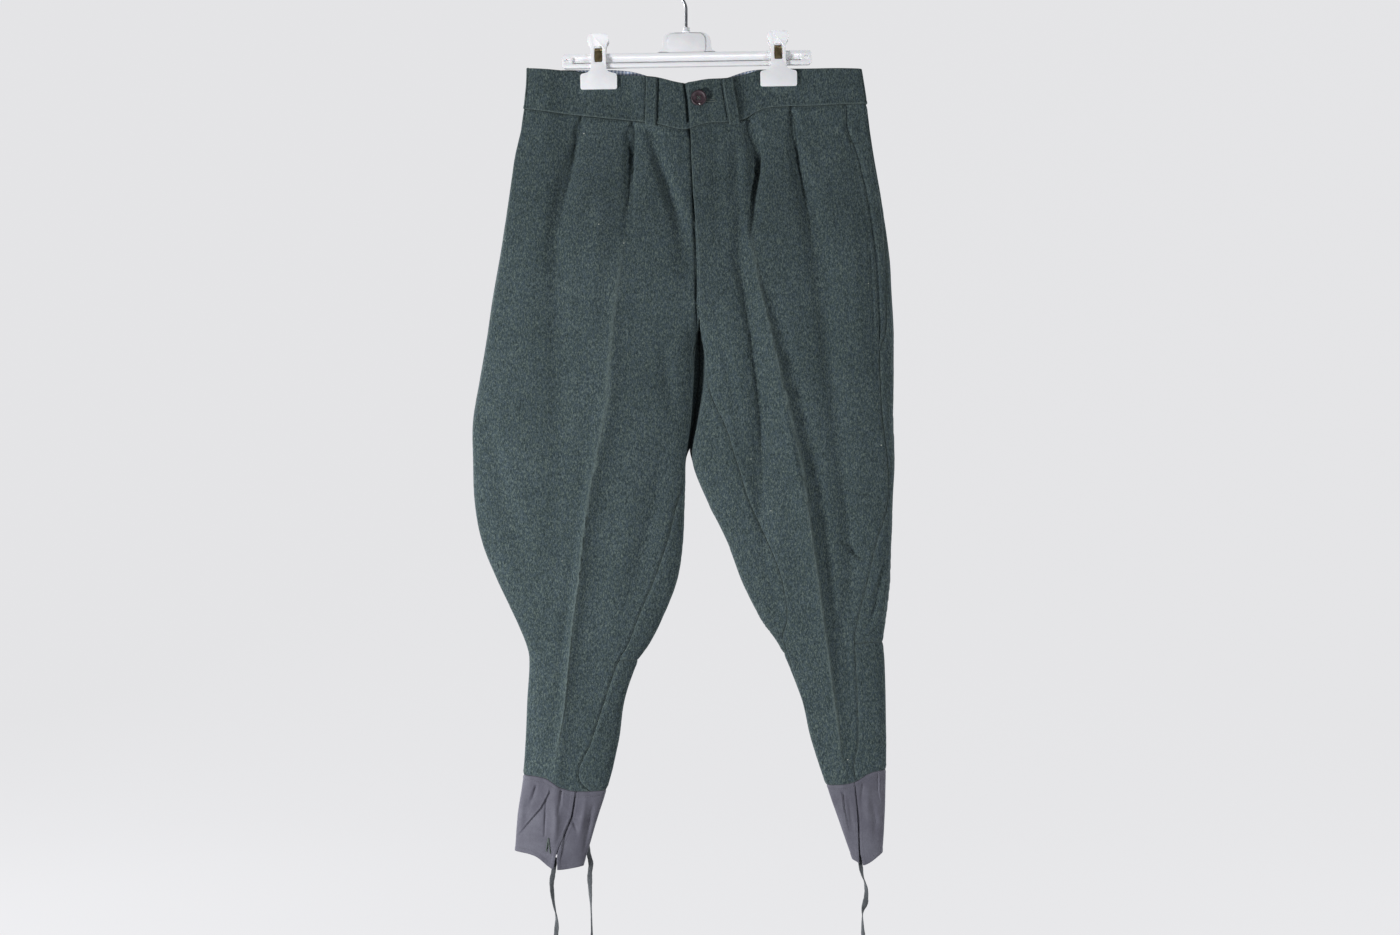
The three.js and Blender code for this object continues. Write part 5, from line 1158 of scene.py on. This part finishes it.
turns = np.linspace(0, 2 * math.pi, 96)
waist_hole_x = 26.8 + 10.6 * np.sign(np.cos(turns)) * np.abs(np.cos(turns)) ** 0.6
waist_hole_z = -169.3 + 1.5 * np.sin(turns) - 0.03 * (waist_hole_x - 26)
waist_hole = thread_loop("waist_buttonhole", legs["left"], waist_hole_x, waist_hole_z, 0.15, 1.25, {})
bow = np.linspace(0, 2, 60)
cuff_hole_x = np.interp(bow, [0, 1, 2], [-172.0, -174.4, -177.0])
cuff_hole_z = np.interp(bow, [0, 1, 2], [-1121.5, -1102.0, -1119.5])
cuff_hole = thread_loop("cuff_buttonhole", legs["right"], cuff_hole_x, cuff_hole_z, -0.6, 1.5,
                        CUFF_STROKES)

# %% [markdown]
# ## The button
# The waist button is turned from dark horn-coloured plastic: a raised rim, a dished middle and
# four holes. A turned profile gives the disc, and four cutters make the holes. Thread crosses
# between them.

# %% Button
def lathe(name, profile, centre, steps, axis="y"):
    radius, height = np.array(profile, float).T
    turn = np.linspace(0, 2 * math.pi, steps, endpoint=False)
    x, z = radius[:, None] * np.cos(turn), radius[:, None] * np.sin(turn)
    y = -height[:, None] + 0 * x
    points = np.stack([x, y, z] if axis == "y" else [x, z, -y], -1).reshape(-1, 3) + np.array(centre)
    return mesh_object(name, points, tube_faces(len(profile), steps), 40)


def apply_modifiers(piece):
    graph = bpy.context.evaluated_depsgraph_get()
    mesh = bpy.data.meshes.new_from_object(piece.evaluated_get(graph))
    piece.modifiers.clear()
    piece.data = mesh


def outward(piece):
    import bmesh
    work = bmesh.new()
    work.from_mesh(piece.data)
    bmesh.ops.recalc_face_normals(work, faces=work.faces)
    work.to_mesh(piece.data)
    work.free()


button_low, button_high = (np.array(v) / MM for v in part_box("waist_button"))
button_centre = (button_low + button_high) / 2
button_back = button_high[1]
# The turned profiles are pairs of a radius and a height above the back
BUTTON = [(0.01, 0), (8.6, 0), (9.4, 0.35), (9.85, 1.0), (9.9, 1.8), (9.75, 2.7), (9.2, 3.35),
          (8.6, 3.55), (8.1, 3.45), (7.4, 2.95), (6.7, 2.6), (5.6, 2.5), (3, 2.5), (0.01, 2.5)]
HOLE_RADIUS, HOLE_OFFSET = 1.1, 2.3
button = lathe("turned_button", BUTTON, (button_centre[0], button_back, button_centre[2]), 64)
outward(button)
for dx, dz in ((1, 1), (1, -1), (-1, 1), (-1, -1)):
    middle = (button_centre[0] + dx * HOLE_OFFSET, button_back, button_centre[2] + dz * HOLE_OFFSET)
    cutter = lathe("cutter", [(HOLE_RADIUS, -3), (HOLE_RADIUS, 6)], middle, 20)
    outward(cutter)
    cut = button.modifiers.new("hole", "BOOLEAN")
    cut.object, cut.solver = cutter, "EXACT"
    apply_modifiers(button)
    bpy.data.objects.remove(cutter)
button.data.shade_smooth()
button.data.set_sharp_from_angle(angle=math.radians(38))
stand_for(button, "waist_button")

button_face = button_back - 2.5
thread_runs = []
# Two threads cross between the holes, and a short pale end lies at the rim
RUNS = ((-2.3, 2.3, 2.3, -2.3), (2.3, 2.3, -2.3, -2.3), (0.4, -7.4, 1.8, -8.8))
for k, (ax, az, bx, bz) in enumerate(RUNS):
    share = np.linspace(0, 1, 15)
    bow = 0.55 * np.sin(share * math.pi) + 0.12 * k
    run = np.stack([button_centre[0] + ax + (bx - ax) * share, button_face - bow + 0.5,
                    button_centre[2] + az + (bz - az) * share], -1)
    if k == 2:
        run[:, 1] = button_back - 3.9 - bow * 0.3
    flat = 0 * share
    strand = swept(f"button_thread_{k}", run, 0.5 + flat, 0.4 + flat, flat, 8, 80)
    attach(strand, "root")
    thread_runs.append(strand)
print("button centre in millimetres:", button_centre.round(1))

# %% [markdown]
# ## The hanger
# The hanger is moulded polypropylene: a bar of I section with a boss in the middle and two clips.
# Moulded parts have small radii on every edge, because the mould's cutter is round and the
# plastic shrinks. Copies of the solids get those radii from a bevel, which is simple and exact.

# %% Hanger mouldings
def rounded_copy(node, width, segments=3, corner=35):
    source = bpy.data.objects[node]
    piece = bpy.data.objects.new("moulded_" + node, source.data.copy())
    bpy.context.collection.objects.link(piece)
    piece.matrix_world = source.matrix_world.copy()
    weld = piece.modifiers.new("weld", "WELD")
    weld.merge_threshold = 0.02 * MM
    flat = piece.modifiers.new("flat", "DECIMATE")
    flat.decimate_type, flat.angle_limit = "DISSOLVE", math.radians(1)
    bevel = piece.modifiers.new("bevel", "BEVEL")
    bevel.width, bevel.segments, bevel.limit_method = width * MM, segments, "ANGLE"
    bevel.angle_limit, bevel.use_clamp_overlap = math.radians(corner), True
    bevel.harden_normals = False
    apply_modifiers(piece)
    piece.data.shade_smooth()
    piece.data.set_sharp_from_angle(angle=math.radians(32))
    stand_for(piece, node)
    return piece


BAR_EDGE, JAW_EDGE, LEAF_EDGE = 0.5, 0.6, 0.15
mouldings = {"hanger_bar": rounded_copy("hanger_bar", BAR_EDGE)}
for node in ("clip_jaw_front_right", "clip_jaw_back_right", "clip_jaw_front_left", "clip_jaw_back_left"):
    mouldings[node] = rounded_copy(node, JAW_EDGE)
for node in ("clip_spring_right", "clip_spring_left"):
    mouldings[node] = rounded_copy(node, LEAF_EDGE, 2)

# %% [markdown]
# The collar is turned about the wire. The hook is one smooth wire that rises straight, bends
# aside and turns over the rail in a round crown. A small coil on each clip's pivot shows through
# the window.

# %% Collar, hook and coils
collar_low, collar_high = (np.array(v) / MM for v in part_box("hanger_collar"))
collar_centre = (collar_low + collar_high) / 2
tall = collar_high[2] - collar_low[2]
COLLAR = [(2.0, 0), (4.9, 0), (5.15, 0.3), (5.15, 1.6), (4.8, 2.2), (4.45, 2.9), (4.4, tall - 1.1),
          (4.0, tall - 0.35), (3.3, tall), (2.0, tall)]
foot = (collar_centre[0], collar_centre[1], collar_low[2])
collar = lathe("moulded_collar", COLLAR, foot, 48, "z")
outward(collar)
stand_for(collar, "hanger_collar")

WIRE, BEND = 1.75, 20.0
route = [(0, 0, -80.5), (0, 0, -66.7)]
for k in range(9):
    turn = math.pi / 3 * k / 8
    route.append((-BEND * (1 - math.cos(turn)), 0, -52.9 + BEND * math.sin(turn)))
first_turn, last_turn = math.pi + math.pi / 3, math.radians(-32)
for k in range(1, 37):
    turn = first_turn + (last_turn - first_turn) * k / 36
    route.append((BEND * math.cos(turn), 0, WIRE - BEND + BEND * math.sin(turn)))
centres, _ = spline_through(route, 1.5)
thick = np.full(len(centres), WIRE)
thick[-3:] = WIRE * np.array([0.97, 0.8, 0.35])
along = np.gradient(centres, axis=0)
along /= np.linalg.norm(along, axis=1)[:, None]
side = np.tile((0.0, 1.0, 0.0), (len(centres), 1))
up = np.cross(side, along)
ring = np.linspace(0, 2 * math.pi, 24, endpoint=False)
points = (centres[:, None] + thick[:, None, None] * (np.cos(ring)[None, :, None] * side[:, None]
                                                     + np.sin(ring)[None, :, None] * up[:, None]))
hook = mesh_object("bent_hook_wire", points.reshape(-1, 3), tube_faces(len(centres), 24), 60)
outward(hook)
stand_for(hook, "hanger_hook")

COIL_RADIUS, COIL_WIRE = 1.9, 0.42
coils = []
for name in ("right", "left"):
    low, high = (np.array(v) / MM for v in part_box("clip_spring_" + name))
    middle = (low + high) / 2
    turn = np.linspace(0, 5 * 2 * math.pi, 110)
    centres = np.stack([middle[0] - 4 + 8 * turn / turn[-1], -3.6 + COIL_RADIUS * np.cos(turn),
                        low[2] + 2.2 + COIL_RADIUS * np.sin(turn)], -1)
    half = COIL_WIRE + 0 * turn
    coil = swept("clip_coil_" + name, centres, half, half, 0 * turn, 8, 80)
    outward(coil)
    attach(coil, "root")
    coils.append(coil)
print("hanger pieces:", len(mouldings) + 2 + len(coils))

# %% [markdown]
# ## A helper for materials
# Colours are written as sRGB hex values, as a colour picker gives them, and turned to linear by
# one function. One helper adds a node, sets its options, and fills or links its inputs.

# %% Material helper
def colour(hex_value, alpha=1.0):
    parts = [int(hex_value[k:k + 2], 16) / 255 for k in (1, 3, 5)]
    linear = [c / 12.92 if c <= 0.04045 else ((c + 0.055) / 1.055) ** 2.4 for c in parts]
    return (*linear, alpha)


def add(tree, kind, inputs=None, stops=None, **settings):
    node = tree.nodes.new(kind)
    for key, value in settings.items():
        setattr(node, key, value)
    for place, hex_value in stops or ():
        band = node.color_ramp.elements
        element = band[0] if place == stops[0][0] else band.new(place)
        element.position, element.color = place, colour(hex_value)
    if stops:
        node.color_ramp.elements.remove(node.color_ramp.elements[-1])
    for key, value in (inputs or {}).items():
        socket = node.inputs[key] if isinstance(key, int) else [
            s for s in node.inputs if s.name == key and s.enabled][0]
        if isinstance(value, bpy.types.Node):
            value = [s for s in value.outputs if s.enabled][0]
        if isinstance(value, bpy.types.NodeSocket):
            tree.links.new(value, socket)
        else:
            socket.default_value = value
    return node


def new_tree(name):
    material = bpy.data.materials.new(name)
    material.use_nodes = True
    material.node_tree.nodes.clear()
    return material, material.node_tree


def dress(pieces, material):
    for piece in pieces:
        piece.data.materials.clear()
        piece.data.materials.append(material)


# %% [markdown]
# ## Fulled wool cloth
# Grey-green uniform wool is spun from fibres dyed in several colours, woven, and then fulled: it
# shrinks and felts until the weave hides under a short nap. The eye sees a matt melange of dark,
# green, blue and pale fibres with a soft sheen at grazing angles. Fibres are about 0.03 mm
# thick. They are drawn as grain of 1 to 2 mm here, so that the melange shows. The grain is
# longer down the cloth, as the nap is brushed that way.

# %% Wool
def fulled_wool(name, dark, middle, light, cool, fleck):
    material, tree = new_tree(name)
    place = add(tree, "ShaderNodeTexCoord").outputs["Object"]
    nap = add(tree, "ShaderNodeMapping", {"Vector": place, "Scale": (1.0, 1.0, 0.5)})
    grain = add(tree, "ShaderNodeTexNoise", {"Vector": nap, "Scale": 640.0, "Detail": 3.0,
                                             "Roughness": 0.8, "Distortion": 0.5})
    tint = add(tree, "ShaderNodeTexNoise", {"Vector": nap, "Scale": 330.0, "Detail": 2.0,
                                            "Roughness": 0.6})
    cloud = add(tree, "ShaderNodeTexNoise", {"Vector": place, "Scale": 13.0, "Detail": 3.0,
                                             "Roughness": 0.6})
    green = add(tree, "ShaderNodeValToRGB", {"Fac": grain},
                stops=[(0.36, dark), (0.5, middle), (0.66, light)])
    blue = add(tree, "ShaderNodeValToRGB", {"Fac": grain},
               stops=[(0.36, dark), (0.52, cool), (0.68, light)])
    share = add(tree, "ShaderNodeMapRange", {"Value": tint, "From Min": 0.4, "From Max": 0.62})
    melange = add(tree, "ShaderNodeMix", {"Factor": share, "A": green, "B": blue}, data_type="RGBA")
    shade = add(tree, "ShaderNodeValToRGB", {"Fac": cloud}, stops=[(0.3, "#eceeec"), (0.7, "#ffffff")])
    worn = add(tree, "ShaderNodeMix", {"Factor": 1.0, "A": melange, "B": shade}, data_type="RGBA",
               blend_type="MULTIPLY")
    # Pressed crests and rubbed edges are painted paler here: partly flattened, worn nap, partly a
    # painted highlight where they catch the light
    wear_and_highlight = add(tree, "ShaderNodeAttribute", attribute_name="wear_and_highlight").outputs["Fac"]
    worn_and_highlit = add(tree, "ShaderNodeMix", {"Factor": wear_and_highlight, "A": worn, "B": colour(light)}, data_type="RGBA")
    # Rare pale fibres and lint, 1 to 3 mm long
    speck = add(tree, "ShaderNodeTexVoronoi", {"Vector": place, "Scale": 62.0, "Randomness": 1.0})
    near = add(tree, "ShaderNodeMapRange", {"Value": speck.outputs["Distance"], "From Min": 0.06,
                                            "From Max": 0.035})
    rare = add(tree, "ShaderNodeTexWhiteNoise", {"Vector": speck.outputs["Position"]})
    chosen = add(tree, "ShaderNodeMath", {0: rare.outputs["Value"], 1: 0.94}, operation="GREATER_THAN")
    lint = add(tree, "ShaderNodeMath", {0: near, 1: chosen}, operation="MULTIPLY")
    base = add(tree, "ShaderNodeMix", {"Factor": lint, "A": worn_and_highlit, "B": colour(fleck)},
               data_type="RGBA")
    bump = add(tree, "ShaderNodeBump", {"Height": grain, "Strength": 0.55, "Distance": 0.0008})
    rough = add(tree, "ShaderNodeMapRange", {"Value": wear_and_highlight, "To Min": 0.95, "To Max": 0.7})
    shader = add(tree, "ShaderNodeBsdfPrincipled", {
        "Base Color": base, "Roughness": rough, "Normal": bump, "Specular IOR Level": 0.25,
        "Sheen Weight": 0.08, "Sheen Roughness": 0.5, "Sheen Tint": colour("#b9c4c4")})
    add(tree, "ShaderNodeOutputMaterial", {"Surface": shader})
    return material


wool = fulled_wool("fulled_wool_cloth", "#283233", "#3f4c4d", "#69756f", "#435159", "#b4b8ae")
dress([p for n, p in panels.items() if not n.startswith(("cuff", "lining"))], wool)

# %% [markdown]
# ## Cotton twill
# The cuffs are tightly woven cotton in a purplish grey. Its diagonal ribs are 0.5 mm apart. They
# are drawn 1.1 mm apart, which is as fine as the picture can show. The thin cloth creases
# sharply and shines a little where it is pressed.

# %% Cuff cotton
TWILL_RIB = 1.1


def cotton_twill(name, dark, light):
    material, tree = new_tree(name)
    place = add(tree, "ShaderNodeTexCoord").outputs["Object"]
    slope = add(tree, "ShaderNodeMapping", {"Vector": place, "Rotation": (0, math.radians(27), 0)})
    ribs = add(tree, "ShaderNodeTexWave", {
        "Vector": slope, "Scale": 2 * math.pi / (20 * TWILL_RIB * MM), "Distortion": 1.2,
        "Detail": 2.0, "Detail Scale": 1.5}, bands_direction="X")
    threads_seen = add(tree, "ShaderNodeTexNoise", {"Vector": place, "Scale": 520.0, "Detail": 2.0})
    patch = add(tree, "ShaderNodeTexNoise", {"Vector": place, "Scale": 30.0, "Detail": 4.0,
                                             "Roughness": 0.6})
    both = add(tree, "ShaderNodeMix", {"Factor": 0.6, "A": ribs.outputs["Color"],
                                       "B": threads_seen.outputs["Color"]}, data_type="RGBA")
    base = add(tree, "ShaderNodeValToRGB", {"Fac": both}, stops=[(0.2, dark), (0.75, light)])
    fade_out = add(tree, "ShaderNodeValToRGB", {"Fac": patch},
                   stops=[(0.35, "#dcdadf"), (0.65, "#ffffff")])
    worn = add(tree, "ShaderNodeMix", {"Factor": 1.0, "A": base, "B": fade_out}, data_type="RGBA",
               blend_type="MULTIPLY")
    bump = add(tree, "ShaderNodeBump", {"Height": both, "Strength": 0.35, "Distance": 0.0003})
    shader = add(tree, "ShaderNodeBsdfPrincipled", {
        "Base Color": worn, "Roughness": 0.72, "Normal": bump, "Sheen Weight": 0.12,
        "Sheen Roughness": 0.4})
    add(tree, "ShaderNodeOutputMaterial", {"Surface": shader})
    return material


twill = cotton_twill("cotton_twill", "#52525c", "#6f6f7a")
dress([panels["cuff_right"], panels["cuff_left"]], twill)

# %% [markdown]
# ## Tape, thread and lining
# The ties are narrow woven tape of the wool's colour. Threads are spun and matt. The lining is a
# smooth striped sateen, pale blue and white, which is a little glossy.

# %% Small textiles
def spun(name, dark, light, size, roughness):
    material, tree = new_tree(name)
    place = add(tree, "ShaderNodeTexCoord").outputs["Object"]
    noise = add(tree, "ShaderNodeTexNoise", {"Vector": place, "Scale": 0.7 / (size * MM), "Detail": 3.0,
                                             "Roughness": 0.7})
    base = add(tree, "ShaderNodeValToRGB", {"Fac": noise}, stops=[(0.35, dark), (0.65, light)])
    bump = add(tree, "ShaderNodeBump", {"Height": noise, "Strength": 0.5, "Distance": 0.0004})
    shader = add(tree, "ShaderNodeBsdfPrincipled", {
        "Base Color": base, "Roughness": roughness, "Normal": bump, "Sheen Weight": 0.15})
    add(tree, "ShaderNodeOutputMaterial", {"Surface": shader})
    return material


tape = spun("woven_wool_tape", "#3a3e41", "#5f6366", 1.0, 0.9)
thread = spun("spun_cotton_thread", "#4c4c56", "#7b7a84", 0.8, 0.8)
hole_thread = spun("spun_buttonhole_thread", "#38423f", "#5a655e", 0.8, 0.8)
pale_thread = spun("spun_pale_thread", "#c9c6c1", "#f0eeea", 0.8, 0.7)
dress(ties.values(), tape)
dress(threads, thread)
dress([waist_hole, cuff_hole], hole_thread)
dress(thread_runs[:2], hole_thread)
dress(thread_runs[2:], pale_thread)

LINING_STRIPE = 4.5
lining_cloth, tree = new_tree("striped_cotton_sateen")
place = add(tree, "ShaderNodeTexCoord").outputs["Object"]
stripes = add(tree, "ShaderNodeTexWave", {
    "Vector": place, "Scale": 2 * math.pi / (20 * LINING_STRIPE * MM), "Distortion": 0.6},
    bands_direction="X")
base = add(tree, "ShaderNodeValToRGB", {"Fac": stripes}, stops=[(0.3, "#93a5c4"), (0.62, "#dbe2ee")])
weave = add(tree, "ShaderNodeTexNoise", {"Vector": place, "Scale": 900.0, "Detail": 1.0})
bump = add(tree, "ShaderNodeBump", {"Height": weave, "Strength": 0.15, "Distance": 0.0002})
shader = add(tree, "ShaderNodeBsdfPrincipled", {"Base Color": base, "Roughness": 0.5, "Normal": bump,
                                                "Sheen Weight": 0.1})
add(tree, "ShaderNodeOutputMaterial", {"Surface": shader})
dress([panels["lining_strip_right"], panels["lining_strip_left"]], lining_cloth)

# %% [markdown]
# ## Moulded plastic and button
# Hanger plastic is moulded polypropylene: near white, half gloss, with a faint grain from the
# mould and a little light passing through it. The button is dark maroon plastic, polished and
# dulled by use.

# %% Plastics
plastic, tree = new_tree("moulded_polypropylene")
place = add(tree, "ShaderNodeTexCoord").outputs["Object"]
mould = add(tree, "ShaderNodeTexNoise", {"Vector": place, "Scale": 700.0, "Detail": 2.0})
handled = add(tree, "ShaderNodeTexNoise", {"Vector": place, "Scale": 45.0, "Detail": 4.0,
                                           "Roughness": 0.6})
base = add(tree, "ShaderNodeValToRGB", {"Fac": handled}, stops=[(0.3, "#f3f4f6"), (0.7, "#fbfbfc")])
rough = add(tree, "ShaderNodeMapRange", {"Value": handled, "To Min": 0.3, "To Max": 0.5})
bump = add(tree, "ShaderNodeBump", {"Height": mould, "Strength": 0.06, "Distance": 0.0002})
shader = add(tree, "ShaderNodeBsdfPrincipled", {
    "Base Color": base, "Roughness": rough, "Normal": bump, "IOR": 1.49,
    "Subsurface Weight": 0.08, "Subsurface Scale": 0.002})
add(tree, "ShaderNodeOutputMaterial", {"Surface": shader})
moulded = [mouldings[n] for n in mouldings if not n.startswith("clip_spring")] + [collar]
dress(moulded, plastic)

horn, tree = new_tree("turned_maroon_plastic")
place = add(tree, "ShaderNodeTexCoord").outputs["Object"]
swirl = add(tree, "ShaderNodeTexNoise", {"Vector": place, "Scale": 190.0, "Detail": 4.0,
                                         "Distortion": 1.5})
base = add(tree, "ShaderNodeValToRGB", {"Fac": swirl},
           stops=[(0.3, "#261a1f"), (0.55, "#3a2a31"), (0.8, "#4c3c43")])
rough = add(tree, "ShaderNodeMapRange", {"Value": swirl, "To Min": 0.45, "To Max": 0.62})
bump = add(tree, "ShaderNodeBump", {"Height": swirl, "Strength": 0.1, "Distance": 0.0002})
shader = add(tree, "ShaderNodeBsdfPrincipled", {"Base Color": base, "Roughness": rough, "Normal": bump,
                                                "IOR": 1.53})
add(tree, "ShaderNodeOutputMaterial", {"Surface": shader})
dress([button], horn)

# %% [markdown]
# ## Drawn wire and spring steel
# The hook is drawn steel wire with a bright zinc finish. Fine lines run along it from the die.
# The clips' leaf springs are yellowed steel strip, and their coils are dark oiled wire.

# %% Metals
def drawn_metal(name, dark, light, roughness):
    material, tree = new_tree(name)
    place = add(tree, "ShaderNodeTexCoord").outputs["Object"]
    stretched = add(tree, "ShaderNodeMapping", {"Vector": place, "Scale": (1.0, 1.0, 0.12)})
    lines = add(tree, "ShaderNodeTexNoise", {"Vector": stretched, "Scale": 1100.0, "Detail": 2.0})
    stain = add(tree, "ShaderNodeTexNoise", {"Vector": place, "Scale": 160.0, "Detail": 4.0})
    base = add(tree, "ShaderNodeValToRGB", {"Fac": stain}, stops=[(0.3, dark), (0.6, light)])
    rough = add(tree, "ShaderNodeMapRange", {"Value": lines, "To Min": roughness - 0.08,
                                             "To Max": roughness + 0.12})
    bump = add(tree, "ShaderNodeBump", {"Height": lines, "Strength": 0.12, "Distance": 0.0001})
    shader = add(tree, "ShaderNodeBsdfPrincipled", {
        "Base Color": base, "Metallic": 1.0, "Roughness": rough, "Normal": bump})
    add(tree, "ShaderNodeOutputMaterial", {"Surface": shader})
    return material


zinc = drawn_metal("drawn_zinc_plated_wire", "#9ea2a8", "#c9ccd1", 0.28)
leaf = drawn_metal("rolled_spring_strip", "#77684a", "#b3a17c", 0.32)
oiled = drawn_metal("oiled_spring_wire", "#2c2b2c", "#55504c", 0.4)
dress([hook], zinc)
dress([mouldings["clip_spring_right"], mouldings["clip_spring_left"]], leaf)
dress(coils, oiled)
print("materials:", sorted(m.name for m in bpy.data.materials if m.users))

# %% [markdown]
# ## Studio
# The breeches hang in a round, pale studio: a plain floor that curves up into a wall all round,
# so that the same pale ground lies behind them from every side. Photographers light such a wall
# with lamps of its own, which don't reach the garment. Here the wall and the floor glow as the
# camera sees them, and give the garment only a little of that light.

# %% Round wall and floor
FLOOR_Z = -1452.0
WALL_RADIUS = 3900.0
WALL_TOP = 5200.0
SWEEP = 1900.0
SWEEP_STEPS, ROUND_STEPS = 12, 96
profile = [(1.0, FLOOR_Z), (WALL_RADIUS - SWEEP, FLOOR_Z)]
for k in range(1, SWEEP_STEPS + 1):
    turn = math.radians(90) * k / SWEEP_STEPS
    profile.append((WALL_RADIUS - SWEEP + SWEEP * math.sin(turn),
                    FLOOR_Z + SWEEP * (1 - math.cos(turn))))
profile.append((WALL_RADIUS, WALL_TOP))
turns = [2 * math.pi * k / ROUND_STEPS for k in range(ROUND_STEPS)]
studio_points = [(r * math.cos(t), r * math.sin(t), z) for r, z in profile for t in turns]
studio_faces = grid_faces(len(profile), ROUND_STEPS, closed=True)
backdrop = mesh_object("studio_backdrop", studio_points, studio_faces, 80)
paint, tree = new_tree("matt_wall_paint")
place = add(tree, "ShaderNodeTexCoord").outputs["Object"]
roller = add(tree, "ShaderNodeTexNoise", {"Vector": place, "Scale": 130.0, "Detail": 3.0})
bump = add(tree, "ShaderNodeBump", {"Height": roller, "Strength": 0.1, "Distance": 0.001})
seen = add(tree, "ShaderNodeLightPath").outputs["Is Camera Ray"]
glow = add(tree, "ShaderNodeMapRange", {"Value": seen, "To Min": 0.14, "To Max": 0.82})
shader = add(tree, "ShaderNodeBsdfPrincipled", {
    "Base Color": colour("#38383a"), "Roughness": 0.9, "Normal": bump, "Specular IOR Level": 0.2,
    "Emission Color": colour("#f7f7f9"), "Emission Strength": glow})
add(tree, "ShaderNodeOutputMaterial", {"Surface": shader})
dress([backdrop], paint)

# %% [markdown]
# Two soft lamps stand low in front. The left one is twice as strong, so the folds' right sides
# are darker, as in the photo. Two more behind light the back in the same way, and the pale room
# fills the shadows a little. Places are in metres.

# %% Lights
LAMP_SIZE = 0.4
LAMP_COLOUR = "#fbfcff"
FRONT_AIM, BACK_AIM = (0.0, 0.0, -0.75), (0.0, 0.0, -0.7)


def soft_light(name, place, aim, watts):
    data = bpy.data.lights.new(name, "AREA")
    data.shape, data.size, data.size_y = "RECTANGLE", LAMP_SIZE, LAMP_SIZE
    data.energy, data.color = watts, colour(LAMP_COLOUR)[:3]
    light = bpy.data.objects.new(name, data)
    light.location = place
    light.visible_camera = False
    light.rotation_euler = (Vector(aim) - Vector(place)).to_track_quat("-Z", "Y").to_euler()
    bpy.context.collection.objects.link(light)


soft_light("left_light", (-1.7, -1.1, -1.0), FRONT_AIM, 50)
soft_light("right_light", (1.9, -1.15, -0.95), FRONT_AIM, 23)
soft_light("left_light_behind", (-1.95, 1.4, -0.1), BACK_AIM, 58)
soft_light("right_light_behind", (2.1, 1.3, -0.3), BACK_AIM, 20)
world = bpy.data.worlds.new("pale_room")
world.use_nodes = True
sky = world.node_tree.nodes["Background"]
sky.inputs["Color"].default_value = colour("#eef1f5")
sky.inputs["Strength"].default_value = 0.04
bpy.context.scene.world = world
